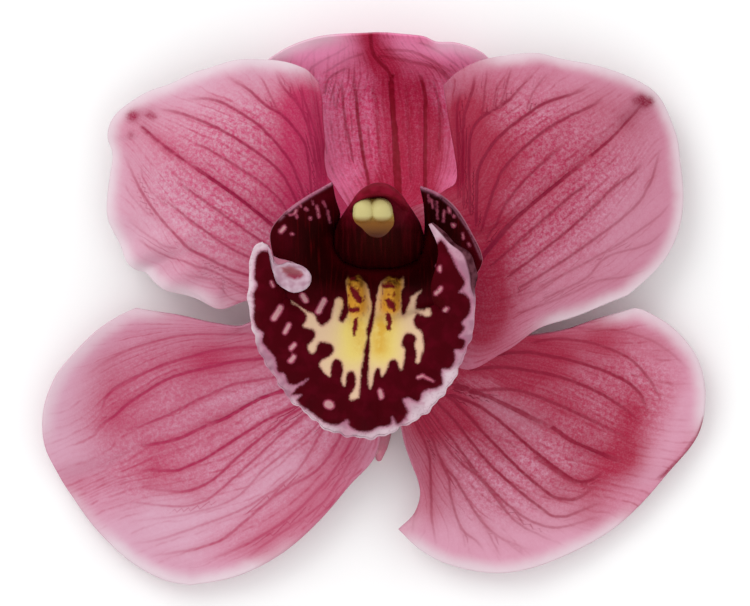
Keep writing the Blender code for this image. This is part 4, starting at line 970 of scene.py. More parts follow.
def thicken(points, faces, thickness, values):
    """A closed sheet with a front and a back, joined round its edge. A value, back, is 1 on the back."""
    half = normals_of(points, faces) * np.broadcast_to(thickness, len(points))[:, None] / 2
    count = len(points)
    first = faces.ravel()
    second = np.roll(faces, -1, axis=1).ravel()
    lone = ~np.isin(first * count + second, second * count + first)
    a, b = first[lone], second[lone]
    rim = np.stack([b, a, a + count, b + count], axis=-1)
    values = {name: np.tile(value, 2) for name, value in values.items()}
    values["back"] = np.repeat([0.0, 1.0], count)
    faces = np.vstack([faces, faces[:, ::-1] + count, rim])
    return np.vstack([points + half, points - half]), faces, values


def tube_faces(rings, sides):
    """The faces of a tube that runs down its rings of points. One point more for each end comes after the
    rings, and the faces round it have it as two of their corners."""
    index = np.arange(rings * sides).reshape(rings, sides)
    ahead = np.roll(index, -1, axis=1)
    top, bottom = np.full((2, sides), [[rings * sides], [rings * sides + 1]])
    parts = [
        [index[:-1], index[1:], ahead[1:], ahead[:-1]],
        [index[0], ahead[0], top, top],
        [ahead[-1], index[-1], bottom, bottom],
    ]
    return np.vstack([np.stack(part, axis=-1).reshape(-1, 4) for part in parts])


def make_piece(name, points, faces, values, material, node):
    """A piece of the bloom, from places in millimetres, with a named value at each point. A face with one
    point as two of its corners is made with three."""
    mesh = bpy.data.meshes.new(name)
    corners = [list(dict.fromkeys(face)) for face in faces.tolist()]
    mesh.from_pydata((points * MM).tolist(), [], corners)
    for value_name, numbers in values.items():
        layer = mesh.attributes.new(value_name, "FLOAT", "POINT")
        layer.data.foreach_set("value", np.asarray(numbers, np.float32))
    mesh.shade_smooth()
    mesh.materials.append(material)
    piece = bpy.data.objects.new(name, mesh)
    bpy.context.scene.collection.objects.link(piece)
    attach(piece, "root")
    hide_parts(node)


class Number:
    """A socket that carries a number, written in Python maths."""

    def __init__(self, finish, socket):
        self.finish = finish
        self.socket = socket

    def maths(self, operation, *terms):
        node = self.finish.node("ShaderNodeMath", {"operation": operation}, dict(enumerate(terms)))
        return Number(self.finish, node.outputs[0])

    def __add__(self, other):
        return self.maths("ADD", self, other)

    def __radd__(self, other):
        return self.maths("ADD", other, self)

    def __sub__(self, other):
        return self.maths("SUBTRACT", self, other)

    def __rsub__(self, other):
        return self.maths("SUBTRACT", other, self)

    def __mul__(self, other):
        return self.maths("MULTIPLY", self, other)

    def __rmul__(self, other):
        return self.maths("MULTIPLY", other, self)

    def __abs__(self):
        return self.maths("ABSOLUTE", self)

    def fract(self):
        return self.maths("FRACT", self)

    def ramp(self, low, high):
        """0 below low and 1 above high, with a soft step between. Low may be the greater of the two."""
        sockets = {"Value": self, "From Min": low, "From Max": high}
        node = self.finish.node("ShaderNodeMapRange", {"interpolation_type": "SMOOTHSTEP"}, sockets)
        return Number(self.finish, node.outputs[0])


class Finish:
    """One material and its nodes."""

    def __init__(self, name):
        self.material = bpy.data.materials.new(name)
        self.material.use_nodes = True
        self.tree = self.material.node_tree
        self.shader = self.tree.nodes["Principled BSDF"]
        self.place = self.node("ShaderNodeTexCoord").outputs["Object"]

    def node(self, kind, settings=None, sockets=None):
        """A node of this kind, with its settings made first and then its sockets' values and links."""
        made = self.tree.nodes.new(kind)
        for name, setting in (settings or {}).items():
            setattr(made, name, setting)
        for key, value in (sockets or {}).items():
            self.feed(made.inputs[key], value)
        return made

    def feed(self, socket, value):
        """Link a socket, or set its value."""
        if isinstance(value, Number):
            value = value.socket
        if isinstance(value, bpy.types.NodeSocket):
            self.tree.links.new(value, socket)
        else:
            socket.default_value = value

    def value(self, name):
        """A named value of the piece's points."""
        node = self.node("ShaderNodeAttribute", {"attribute_name": name})
        return Number(self, node.outputs["Fac"])

    def noise(self, size, detail=2.0, place=None):
        """Noise from 0 to 1 with grains of this size in millimetres. A given place is in millimetres."""
        if place is None:
            place, size = self.place, size * MM
        node = self.node("ShaderNodeTexNoise", None, {"Vector": place, "Scale": 1 / size, "Detail": detail})
        return Number(self, node.outputs["Fac"])

    def streaks(self, size, stretch):
        """Noise drawn out along y by this factor, in the places that the piece was drawn in."""
        drawn = self.vector(self.value("drawn_x"), self.value("drawn_y") * stretch)
        return self.noise(size, 3.0, drawn)

    def vector(self, x, y):
        return self.node("ShaderNodeCombineXYZ", None, {0: x, 1: y}).outputs[0]

    def blend(self, factor, under, over):
        """One colour laid over another."""
        sockets = {0: factor, 6: self.colour(under), 7: self.colour(over)}
        return self.node("ShaderNodeMix", {"data_type": "RGBA"}, sockets).outputs[2]

    @staticmethod
    def colour(value):
        """A link as it is, or three numbers with an alpha of 1."""
        return value if isinstance(value, bpy.types.NodeSocket) else (*value[:3], 1.0)

    def bump(self, height, depth, under=None):
        """Relief of this depth in millimetres."""
        sockets = {"Height": height, "Distance": depth * MM, "Strength": 1.0}
        if under is not None:
            sockets["Normal"] = under
        return self.node("ShaderNodeBump", None, sockets).outputs["Normal"]

    def shade(self, **sockets):
        """Feed the shader, with each socket's name in small letters and _ for a space."""
        by_name = {socket.name.lower().replace(" ", "_"): socket for socket in self.shader.inputs}
        for name, value in sockets.items():
            if name.endswith("colour"):
                name = name.replace("colour", "color")
                value = self.colour(value)
            self.feed(by_name[name], value)
        return self.material


class TepalSettings(PropertyGroup):
    middle: FloatProperty(
        name="Thickness", description="Thickness of the petals in millimetres", default=1.0, min=0.6
    )
    edge: FloatProperty(
        name="Edge", description="Thickness at their margins in millimetres", default=0.35, min=0.2
    )
    rows: IntProperty(name="Rows", description="Steps from the base to the tip", default=150, min=30)
    columns: IntProperty(name="Columns", description="Steps from margin to margin", default=120, min=30)
    vein_width: FloatProperty(
        name="Vein width", description="Breadth of the veins, as a factor", default=1.0, min=0.1
    )
    margin: FloatVectorProperty(
        name="Margin", description="Colour of their margins", subtype="COLOR", default=(0.72, 0.6, 0.65)
    )
    under: FloatVectorProperty(
        name="Underside", description="Colour of their backs", subtype="COLOR", default=(0.56, 0.24, 0.34)
    )


class LipSettings(PropertyGroup):
    middle: FloatProperty(
        name="Thickness", description="Thickness of the lip in millimetres", default=0.9, min=0.5
    )
    edge: FloatProperty(
        name="Edge", description="Thickness at its frill in millimetres", default=0.4, min=0.2
    )
    finer: IntProperty(name="Fineness", description="Steps for each step of the solid", default=8, min=2)
    maroon: FloatVectorProperty(
        name="Maroon", description="Ground of the lip", subtype="COLOR", default=(0.055, 0.0003, 0.003)
    )
    yellow: FloatVectorProperty(
        name="Yellow", description="Middle of the lip", subtype="COLOR", default=(0.74, 0.58, 0.17)
    )
    margin: FloatVectorProperty(
        name="Margin", description="Frilled edge of the lip", subtype="COLOR", default=(0.5, 0.26, 0.34)
    )


class ColumnSettings(PropertyGroup):
    sides: IntProperty(name="Sides", description="Steps round the column", default=96, min=24)
    finer: IntProperty(name="Fineness", description="Steps for each section", default=9, min=2)
    hood: FloatVectorProperty(
        name="Hood", description="Colour of the column's hood", subtype="COLOR", default=(0.2, 0.005, 0.02)
    )
    cap: FloatVectorProperty(
        name="Cap", description="Colour of the anther cap", subtype="COLOR", default=(0.53, 0.46, 0.19)
    )


class StageSettings(PropertyGroup):
    camera_height: FloatProperty(
        name="Camera height", description="Height over the surface", default=1.21, unit="LENGTH"
    )
    lens: FloatProperty(name="Lens", description="Focal length in millimetres", default=345.6)
    daylight: FloatProperty(name="Daylight", description="Strength of the light all round", default=0.96)
    lamp: FloatProperty(name="Lamp", description="Power of the soft lamp in watts", default=2.6)
    floor: FloatVectorProperty(
        name="Floor", description="Colour of the surface", subtype="COLOR", default=(0.97, 0.97, 0.97)
    )


def phase_across(name, s, t):
    """A count that rises smoothly across and is whole on every strand."""
    places = np.array(STRANDS[name])
    at_s = np.stack([np.interp(s, STRAND_STATIONS, place) for place in places], axis=-1)
    low = np.clip((at_s <= t[:, None]).sum(axis=1) - 1, 0, len(places) - 2)
    rows = np.arange(len(s))

    def at(index):
        return at_s[rows, np.clip(index, 0, len(places) - 1)]

    before, start, end, after = at(low - 1), at(low), at(low + 1), at(low + 2)
    gap = end - start
    slope_start = np.where(low > 0, 2 / (end - before), 1 / gap)
    slope_end = np.where(low + 2 < len(places), 2 / (after - start), 1 / gap)
    u = (t - start) / gap
    inside_u = np.clip(u, 0, 1)
    phase = low + (3 * inside_u**2 - 2 * inside_u**3)
    phase += (inside_u**3 - 2 * inside_u**2 + inside_u) * gap * slope_start
    phase += (inside_u**3 - inside_u**2) * gap * slope_end
    phase += np.where(u < 0, u * gap * slope_start, 0) + np.where(u > 1, (u - 1) * gap * slope_end, 0)
    return phase


def nearest_vein(points, veins):
    """The distance to the nearest vein, positive on one side of it, that vein's darkness and half breadth,
    and the soft flush that all the veins lend to the skin beside them."""
    rows = np.arange(len(points))
    side, dark, breadth, flush = np.full(len(points), 99.0), *np.zeros((3, len(points)))
    for darkness, half, path in veins:
        line = Curve([(x, y, 0) for x, y in path]).points[:: Curve.STEPS // 4, :2]
        starts, steps = line[:-1], np.diff(line, axis=0)
        offsets = points[:, None] - starts
        u = np.clip((offsets * steps).sum(axis=2) / (steps**2).sum(axis=1), 0, 1)
        offsets -= u[..., None] * steps
        away = np.linalg.norm(offsets, axis=2)
        k = away.argmin(axis=1)
        away = away[rows, k]
        along = (k + u[rows, k]) / len(starts)
        fading = darkness * np.clip((1 - along) / VEIN_FADE, 0, 1) ** 0.7
        turn = steps[k, 0] * offsets[rows, k, 1] - steps[k, 1] * offsets[rows, k, 0]
        closer = away < np.abs(side)
        side = np.where(closer, np.where(turn < 0, -away, away), side)
        dark = np.where(closer, fading, dark)
        breadth = np.where(closer, half, breadth)
        flush += fading * np.exp(-((away / (FLUSH_REACH + FLUSH_PER_BREADTH * half)) ** 2))
    return side, dark, breadth, np.clip(flush, 0, 1)


def smooth_along(values, rows, columns, reach):
    """Each column's values averaged over a few rows."""
    table = values.reshape(rows + 1, columns + 1)
    padded = np.pad(table, ((reach, reach), (0, 0)), mode="edge")
    summed = sum(padded[k : k + rows + 1] for k in range(2 * reach + 1))
    return (summed / (2 * reach + 1)).ravel()


def build_tepal(node, sizes):
    """One petal or sepal: its curved sheet with folds and waves, and the values that its finish reads."""
    name, shape, base_z = TEPALS[node]
    rows, columns = sizes.rows, sizes.columns
    s, t, faces = grid(rows, columns)
    points = tepal_surface(shape, base_z)(s, t)
    faces = facing_up(points, faces)
    table = points.reshape(rows + 1, columns + 1, 3)
    margin = np.vstack([table[:, 0], table[-1, 1:], table[-2::-1, -1]])[:, :2]
    edge, along_margin = distance_to_path(points[:, :2], margin)
    phase = smooth_along(phase_across(node, s, t), rows, columns, rows // 16)
    across = np.linalg.norm(np.gradient(table, axis=1), axis=2)
    steps = np.gradient(phase.reshape(table.shape[:2]), axis=1)
    gap = np.clip(across / np.maximum(steps, 1e-6), 0, WIDEST_GAP).ravel()
    normals = normals_of(points, faces)
    count, height, reach = WAVES[node]
    turns = 2 * np.pi * count * along_margin
    waves = np.sin(turns) + 0.6 * np.sin(2.3 * turns + 1.3)
    lift = painted(points[:, :2], FOLDS[node]) + height * waves * np.exp(-((edge / reach) ** 2))
    lift *= np.clip(s * 4, 0, 1)
    points = points + normals * lift[:, None]
    points[:, 2] = np.maximum(points[:, 2], LOWEST_TEPAL_Z)
    drawn = points[:, :2] * (DRAWN_DISTANCE / (DRAWN_DISTANCE + DRAWN_LEVEL - points[:, 2]))[:, None]
    side, dark, breadth, flush = nearest_vein(drawn, VEINS[node])
    values = {
        "phase": phase,
        "gap": gap,
        "edge": edge,
        "vein_side": side,
        "vein_away": np.minimum(np.abs(side), FARTHEST_VEIN),
        "vein_dark": dark,
        "vein_breadth": breadth,
        "vein_flush": flush,
        "deep": tinted(drawn, DEEP[node]),
        "pale": tinted(drawn, PALE[node]),
        "spot": tinted(drawn, SPOTS[node]),
        "rim": tinted(drawn, RIMS[node]),
    }
    thickness = sizes.edge + (sizes.middle - sizes.edge) * np.clip(edge / TEPAL_THINNING, 0, 1) ** 0.7
    make_piece(name, *thicken(points, faces, thickness, values), tepal_finish(node, sizes), node)


def tepal_finish(node, sizes):
    """Waxy skin with crimson veins, a fine mottle and a margin that fades to near white."""
    pale, pink, deep, vein = TONES[node]
    f = Finish(node)
    edge, gap, away = f.value("edge"), f.value("gap"), f.value("vein_away")
    flush, tint = f.value("deep"), f.value("pale")
    wander = f.value("phase") + (f.noise(7.0, 1.0) - 0.5) * 0.35 + (f.noise(1.5) - 0.5) * 0.1

    def strands(count, width, softness):
        """This many lines to a strand, with half their breadth and their soft edge in millimetres."""
        apart = abs((wander * count + 0.5).fract() - 0.5) * gap * (1 / count)
        return apart.ramp(width + softness, width * 0.3)

    uneven = f.noise(0.9)
    half = f.value("vein_breadth") * sizes.vein_width * (0.65 + 0.4 * uneven)
    outer = f.value("rim")
    inner = 1 - (1 - edge.ramp(0.5, 5.5)) * outer
    side = abs(f.value("vein_side") + (f.noise(2.2) - 0.5) * 0.3)
    shown = f.value("vein_dark") * (1 - 0.45 * tint) * (0.25 + 0.75 * inner)
    shown = shown * (0.8 + 0.2 * uneven.ramp(0.3, 0.6))
    main = (side - half).ramp(0.19, -0.1) * (away - half).ramp(0.65, 0.4) * shown
    fine = strands(2.0, 0.08, 0.3) * f.noise(2.4, 3.0).ramp(0.4, 0.65)
    finest = strands(4.0, 0.04, 0.25) * f.noise(1.6, 3.0).ramp(0.35, 0.7)
    streaks = f.noise(1.0, 3.0, f.vector(wander * 9, edge * 0.12)).ramp(0.3, 0.75)
    grain = f.noise(0.28, 3.0).ramp(0.22, 0.72)
    mottle = f.noise(0.62).ramp(0.28, 0.72)
    spread = edge.ramp(2.0, 11.0) * (1 - 0.6 * tint)
    clouds = f.noise(5.0, 3.0).ramp(0.3, 0.7)
    speckle = (grain - 0.5) * (0.15 + 0.4 * spread) + (mottle - 0.5) * (0.1 + 0.6 * spread)
    speckle = speckle * MOTTLE[node]
    paler = (0.95 - 0.6 * tint) * (1 - (1 - edge.ramp(-2.5, 5.0)) * outer)
    body = f.blend((0.5 + speckle) * paler, pale, pink)
    body = f.blend((0.1 * clouds + 0.22 * streaks) * (0.3 + 0.7 * inner) * (1 - 0.8 * tint), body, deep)
    body = f.blend(flush * (0.75 + 0.15 * grain + 0.1 * streaks), body, deep)
    body = f.blend(f.value("vein_flush") * (1 - 0.5 * tint) * inner * 0.45, body, deep)
    body = f.blend(finest * inner * 0.25 * (1 - 0.7 * tint), body, deep)
    body = f.blend(fine * inner * 0.5 * (1 - 0.7 * tint), body, f.blend(0.35, deep, vein))
    body = f.blend(main, body, vein)
    rim = (edge + f.noise(3.0) - 0.5).ramp(2.8, 0.0)
    body = f.blend(rim * 0.85 * outer, body, sizes.margin)
    body = f.blend(f.value("spot") * (0.7 + 0.3 * grain), body, vein)
    body = f.blend(f.value("back") * 0.75, body, sizes.under)
    relief = f.bump(f.noise(0.3), 0.03)
    relief = f.bump(1 - main, 0.1, relief)
    return f.shade(base_colour=body, roughness=0.44 + 0.1 * grain, normal=relief, specular_ior_level=0.15)


class BLOOM_OT_tepals(Operator):
    """Build the two petals and the three sepals"""

    bl_idname = "bloom.tepals"
    bl_label = "Petals and Sepals"

    def execute(self, context):
        for node in TEPALS:
            build_tepal(node, context.scene.bloom_tepals)
        return {"FINISHED"}


def curl_surface():
    """The flap that the left ear ends in: s runs from the ear's edge to its free edge, t from the tip."""
    ear = Curve(EAR_LEFT)
    free = Curve([*CURL_EDGE, tuple(ear.at(CURL_END))])

    def place(s, t):
        s1 = s[:, None]
        points = (1 - s1) * ear.at(t * CURL_END) + s1 * free.at(t)
        rise = np.sin(0.5 * np.pi * np.clip(2.5 * s, 0, 1)) * np.sin(np.pi * t) ** 0.5
        dish = np.clip(inside(points[:, :2], CURL_DISH) / CURL_DISH_WALL, 0, 1)
        points[:, 2] += (painted(points[:, :2], CURL_RIMS) - CURL_DEPTH * dish) * rise
        return nearer(points)

    return place


def rolled(points, rows, columns):
    """The midlobe's points, with more rows beyond its margin that turn outwards and down where it rolls."""
    table = points.reshape(rows + 1, columns + 1, 3)
    edge = table[-1]
    breadth = np.interp(np.linspace(0, 1, columns + 1), ROLL_PLACES, ROLL_BREADTHS)[:, None]
    outwards = edge - table[-4]
    outwards[:, 2] = 0
    outwards /= np.linalg.norm(outwards, axis=1)[:, None]
    extra = []
    for turn in np.linspace(0, np.pi / 2, ROLL_ROWS + 1)[1:]:
        drop = (0, 0, ROLL_DROP * (1 - np.cos(turn)))
        extra.append(edge + breadth * (np.sin(turn) * outwards - drop))
    return np.vstack([points, *extra])


def lip_sheet(finer):
    """Throat, side lobes, midlobe and curl as one sheet that shares its points along the folds. Part is 0
    on the throat and the side lobes, 1 on the midlobe and 2 on the curl. Roll is 1 on the rolled rows."""
    ear, throat_columns = LIP_EAR_COLUMNS * finer, LIP_THROAT_COLUMNS * finer
    columns = throat_columns + 2 * ear
    throat_rows, rows = LIP_THROAT_ROWS * finer, LIP_MIDLOBE_ROWS * finer
    curl_rows, curl_columns = LIP_CURL_ROWS * finer, round(ear * CURL_END)
    s, t, throat_faces = grid(throat_rows, throat_columns)
    throat = throat_surface()(s, t)
    s, t, _ = grid(rows, columns)
    flat_count = len(s)
    midlobe = rolled(midlobe_surface((ear / columns, 1 - ear / columns))(s, t), rows, columns)
    _, _, midlobe_faces = grid(rows + ROLL_ROWS, columns)
    s, t, curl_faces = grid(curl_rows, curl_columns)
    curl = curl_surface()(s, t)
    midlobe_number = np.arange(len(midlobe)) + len(throat)
    fold = np.arange(throat_columns + 1)
    midlobe_number[ear + fold] = throat_rows * (throat_columns + 1) + fold
    curl_number = np.arange(len(curl)) + len(throat) + len(midlobe)
    curl_number[: curl_columns + 1] = midlobe_number[: curl_columns + 1]
    curl_number[:: curl_columns + 1] = midlobe_number[0]
    curl_number[curl_columns :: curl_columns + 1] = midlobe_number[curl_columns]
    points = np.vstack([throat, midlobe, curl])
    faces = np.vstack([
        facing_up(throat, throat_faces),
        midlobe_number[facing_up(midlobe, midlobe_faces)],
        curl_number[facing_up(curl, curl_faces)],
    ])
    part = np.repeat([0, 1, 2], [len(throat), len(midlobe), len(curl)])
    roll = np.zeros(len(points))
    roll[len(throat) + flat_count : len(throat) + len(midlobe)] = 1
    used, numbered = np.unique(faces, return_inverse=True)
    return points[used], numbered.reshape(faces.shape), part[used], roll[used]


def rounded(outline):
    """A closed outline with its corners rounded."""
    smooth = Curve([*outline[-2:], *outline, *outline[:2]]).points
    return smooth[2 * Curve.STEPS : -2 * Curve.STEPS : 3]


def lip_finish(colours):
    """Velvety maroon with a pale frilled margin, a yellow middle, rosy marks and dark blotches."""
    f = Finish("lip")
    ragged = (f.noise(0.8, 3.0) - 0.5) * 0.5 + (f.noise(0.25) - 0.5) * 0.3
    ground = (f.value("ground") + ragged).ramp(-0.3, 0.3)
    centre = (f.value("centre") + ragged).ramp(-0.25, 0.3)
    marks = (f.value("marks") + ragged * 0.9).ramp(-0.26, 0.22)
    blotches = (f.value("blotch") + ragged * 1.3).ramp(-0.24, 0.18)

    margin = f.blend(f.noise(1.8, 1.0).ramp(0.35, 0.65), MAUVE, colours.margin)
    # The glint tint lays painted highlights on the margin, partly over its own near white
    margin = f.blend(f.value("glint") * f.noise(1.5, 1.0).ramp(0.15, 0.45), margin, MARGIN_WHITE_AND_HIGHLIGHT)
    margin = f.blend(f.noise(0.5).ramp(0.5, 0.8) * 0.4, margin, MAUVE)
    margin = f.blend(f.value("ground").ramp(-0.8, 0.1) * 0.6, margin, ROSE)

    maroon = f.blend(f.noise(2.5, 3.0).ramp(0.4, 0.75) * 0.6, colours.maroon, WINE)
    # Painted shade: the throat and the side lobes darken to near black where the shade tint lies
    throat = f.blend(f.streaks(0.5, 0.08).ramp(0.5, 0.75), THROAT_SHADE, THROAT_SHADE_STREAK)
    maroon = f.blend(f.value("shade"), maroon, throat)
    # Painted light round the column's foot, which lifts the shade there
    maroon = f.blend(f.value("foot") * 0.8, maroon, FOOT_PAINTED_LIGHT)

    glow, keels = f.value("glow"), f.value("amber")
    cream = f.blend(f.value("gold"), CREAM, colours.yellow)
    cream = f.blend(glow * f.noise(1.2).ramp(0.1, 0.6), cream, ORANGE)
    cream = f.blend(f.value("centre").ramp(0.6, 0.0) * (1 - glow) * 0.5, cream, BLUSH)
    lengthwise = f.vector(f.value("drawn_x"), f.value("drawn_y") * 0.5)
    cream = f.blend(keels, cream, f.blend(f.noise(0.7, 2.0, lengthwise).ramp(0.3, 0.5), RUST, KEEL_AMBER))
    fading = 1 - keels * (f.value("drawn_y") + (f.noise(1.0, 1.0) - 0.5) * 4).ramp(2.4, 5.2)

    rosy = f.blend(f.value("marks").ramp(0.0, 0.3), MARK_EDGE, MARK_MIDDLE)
    body = f.blend(ground, margin, maroon)
    body = f.blend(marks * f.noise(0.5).ramp(0.1, 0.45) * 0.95, body, rosy)
    body = f.blend(centre * fading, body, cream)
    body = f.blend(blotches, body, BLOTCH)
    body = f.blend(f.value("lobe_edge") * f.noise(0.5, 3.0).ramp(0.2, 0.5), body, margin)

    band = f.blend(f.noise(1.5, 1.0).ramp(0.3, 0.7), CURL_MAUVE, CURL_PALE)
    dish = f.blend(f.value("curl_far"), DISH_NEAR, DISH_FAR)
    body = f.blend(f.value("curl"), body, f.blend(f.value("curl_dish"), band, dish))
    # Painted shade on the rolled margin
    turned = f.blend(f.noise(1.2, 3.0).ramp(0.3, 0.7), ROLL_SHADE_DARK, ROLL_SHADE_PALE)
    body = f.blend(f.value("roll"), body, turned)
    # The back turns rosy; near the inner edge it keeps the front's dark colour as painted shade under the
    # column
    body = f.blend(f.value("back") * f.value("outside"), body, LIP_OUTSIDE)
    roughness = 0.5 + 0.1 * (1 - ground)
    relief = f.bump(f.noise(0.35), 0.05)
    return f.shade(base_colour=body, roughness=roughness, normal=relief, specular_ior_level=0.02)


class BLOOM_OT_lip(Operator):
    """Build the lip with its markings"""

    bl_idname = "bloom.lip"
    bl_label = "Lip"

    def execute(self, context):
        sizes = context.scene.bloom_lip
        points, faces, part, roll = lip_sheet(sizes.finer)
        drawn = points[:, :2] / NEARER_SCALE
        x, y = drawn.T
        throat, midlobe, curl = (part == k for k in range(3))
        near_fold = (away_from(drawn, LIP_FRONT) < FOLD_REACH) & ~curl & (roll == 0)
        near_fold &= (x > FOLD_X[0]) & (x < FOLD_X[1])
        points = relaxed(points, faces, np.where(near_fold, 0.5, 0.0), FOLD_ROUNDS)
        side_edge = np.minimum(away_from(drawn, LIP_LEFT), away_from(drawn, LIP_RIGHT))
        frill = away_from(drawn, MIDLOBE_MARGIN)
        edge = np.select([throat, midlobe], [side_edge, frill], CURL_EDGE_DISTANCE)
        values = {name: tinted(drawn, strokes) for name, strokes in LIP_TINTS.items()}
        for name in THROAT_TINTS:
            values[name] = np.where(throat, values[name], 0)
        values |= {
            "ground": np.where(throat, DEEP_IN_MAROON, inside(drawn, rounded(MAROON))),
            "centre": np.maximum(inside(drawn, rounded(CENTRE_LEFT)), inside(drawn, rounded(CENTRE_RIGHT))),
            "marks": dots(drawn, MARKS),
            "blotch": dots(drawn, BLOTCHES),
            "drawn_x": x,
            "drawn_y": y,
            "lobe_edge": np.where(throat, tinted(drawn, LOBE_EDGES), 0),
            "curl": curl,
            "curl_dish": np.clip(inside(drawn, CURL_DISH) / CURL_DISH_SOFT_EDGE + 0.5, 0, 1),
            "curl_far": np.interp(y, CURL_FAR_Y, (0, 1)),
            "roll": roll * (x > ROLL_SHADE_X) * np.interp(y, ROLL_SHADE_Y, (0, 1)),
            "outside": np.where(throat, np.interp(away_from(drawn, LIP_BACK), LIP_BACK_TINT, (0, 1)), 1.0),
        }
        thickness = sizes.edge + (sizes.middle - sizes.edge) * np.clip(edge / LIP_THINNING, 0, 1)
        make_piece("veined_lip", *thicken(points, faces, thickness, values), lip_finish(sizes), "lip")
        return {"FINISHED"}


def column_surface(s, t):
    """The column's skin: s runs up its sections and t once round it."""
    sections = np.array(COLUMN_SECTIONS)
    steps = len(sections) - 1
    turn = 2 * np.pi * t
    y, z, breadth, depth, lean = (np.interp(s * steps, range(steps + 1), values) for values in sections.T)
    lean = np.radians(lean)
    out = depth * np.sign(np.sin(turn)) * np.abs(np.sin(turn)) ** COLUMN_SQUARENESS
    across = breadth * np.sign(np.cos(turn)) * np.abs(np.cos(turn)) ** COLUMN_SQUARENESS
    hood = np.clip(s * steps - HOOD_FIRST_SECTION + 1, 0, 1)
    y = y + out * np.cos(lean) - hood * HOOD_BEND * (across / HOOD_HALF_WIDTH) ** 2
    return nearer(np.stack([COLUMN_X + across, y, z - out * np.sin(lean)], axis=-1))


def column_finish(colours):
    """A red hood over a nearly black foot, partly painted shade, with fine streaks."""
    f = Finish("column")
    streaks = f.streaks(0.6, 0.08).ramp(0.45, 0.75)
    red = f.blend(f.noise(1.5, 3.0).ramp(0.35, 0.7), colours.hood, HOOD_WINE)
    body = f.blend(f.value("hood"), f.blend(streaks, COLUMN_DARK_AND_SHADE, COLUMN_STREAK), red)
    relief = f.bump(f.noise(0.4), 0.05)
    return f.shade(base_colour=body, roughness=0.45 + 0.1 * streaks, normal=relief, specular_ior_level=0.03)


class BLOOM_OT_column(Operator):
    """Build the hooded column"""

    bl_idname = "bloom.column"
    bl_label = "Column"

    def execute(self, context):
        sizes = context.scene.bloom_column
        rings, sides = (len(COLUMN_SECTIONS) - 1) * sizes.finer + 1, sizes.sides
        s, t = np.meshgrid(np.linspace(0, 1, rings), np.arange(sides) / sides, indexing="ij")
        points = column_surface(s.ravel(), t.ravel())
        points = np.vstack([points, points[:sides].mean(axis=0), points[-sides:].mean(axis=0)])
        # The rings run upwards
        faces = tube_faces(rings, sides)[:, ::-1]
        between_ends = np.zeros(len(points))
        between_ends[sides : (rings - 1) * sides] = 0.5
        points = relaxed(points, faces, between_ends, 4)
        drawn = points[:, :2] / NEARER_SCALE
        hood = np.interp(drawn[:, 1], HOOD_TINT_Y, (0, 1)) * np.interp(points[:, 2], HOOD_TINT_Z, (0, 1))
        values = {"hood": hood, "drawn_x": drawn[:, 0], "drawn_y": drawn[:, 1]}
        make_piece("hooded_column", points, faces, values, column_finish(sizes), "column")
        return {"FINISHED"}


def cap_finish(colours):
    """Two pale lobes, with painted shade at their rims and groove, over a slope from amber to olive."""
    f = Finish("anther_cap")
    # Painted shade: the lobes darken from their tops towards their rims
    pale = f.blend(f.value("dome").ramp(0.0, 0.75), CAP_RIM_SHADE, colours.cap)
    body = f.blend(f.value("lobes"), f.blend(f.value("low"), CAP_OLIVE, CAP_LOW), pale)
    relief = f.bump(f.noise(0.5), 0.05)
    roughness = 0.4 + 0.1 * f.noise(0.4)
    return f.shade(base_colour=body, roughness=roughness, normal=relief, specular_ior_level=0.2)


class BLOOM_OT_cap(Operator):
    """Build the two-lobed anther cap"""

    bl_idname = "bloom.cap"
    bl_label = "Anther Cap"

    def execute(self, context):
        down, round_it = np.linspace(0, 1, CAP_RINGS + 2)[1:-1], np.arange(CAP_SIDES) / CAP_SIDES
        s, t = np.meshgrid(down, round_it, indexing="ij")
        fall, turn = np.pi * np.append(s, [0, 1]), 2 * np.pi * np.append(t, [0, 0])
        across, along, up = np.sin(fall) * np.cos(turn), np.sin(fall) * np.sin(turn), np.cos(fall)
        outline = rounded(CAP_OUTLINE) - CAP_CENTRE[:2]
        bearing = np.arctan2(outline[:, 1], outline[:, 0])
        order = np.argsort(bearing)
        distance = np.linalg.norm(outline, axis=1)
        reach = np.interp(turn, bearing[order], distance[order], period=2 * np.pi)
        x = CAP_CENTRE[0] + across * reach
        y = CAP_CENTRE[1] + along * reach
        lobes = [1 - ((x - cx) / rx) ** 2 - ((y - cy) / ry) ** 2 for cx, cy, rx, ry in CAP_LOBES]
        dome = np.sqrt(np.clip(np.maximum(*lobes), 0, 1))
        above = np.clip(up * 2, 0, 1)
        slope = np.clip((CAP_SLOPE_Y - y) / CAP_SLOPE_LENGTH, 0, 1)
        height = CAP_CENTRE[2] + CAP_HEIGHT * up + above * (CAP_LOBE_HEIGHT * dome - CAP_SLOPE_DROP * slope)
        points = nearer(np.column_stack([x, y, height]))
        values = {
            "lobes": np.clip(y - CAP_SLOPE_Y + 0.5, 0, 1),
            "dome": dome,
            "low": np.interp(y, CAP_TONE_Y, (1, 0)),
        }
        finish = cap_finish(context.scene.bloom_column)
        make_piece("lobed_cap", points, tube_faces(CAP_RINGS, CAP_SIDES), values, finish, "anther_cap")
        return {"FINISHED"}


class BLOOM_OT_pedicel(Operator):
    """Give the pedicel and the ovary their finish"""

    bl_idname = "bloom.pedicel"
    bl_label = "Pedicel"

    def execute(self, context):
        f = Finish("pedicel")
        body = f.blend(f.noise(3.0, 3.0).ramp(0.35, 0.7), PEDICEL_PINK, PEDICEL_PALE)
        body = f.blend(f.noise(0.4).ramp(0.55, 0.7) * 0.3, body, PEDICEL_FLECK)
        relief = f.bump(f.noise(0.5), 0.05)
        finish = f.shade(base_colour=body, roughness=0.45 + 0.1 * f.noise(0.6), normal=relief)
        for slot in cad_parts["pedicel"].material_slots:
            slot.material = finish
        return {"FINISHED"}


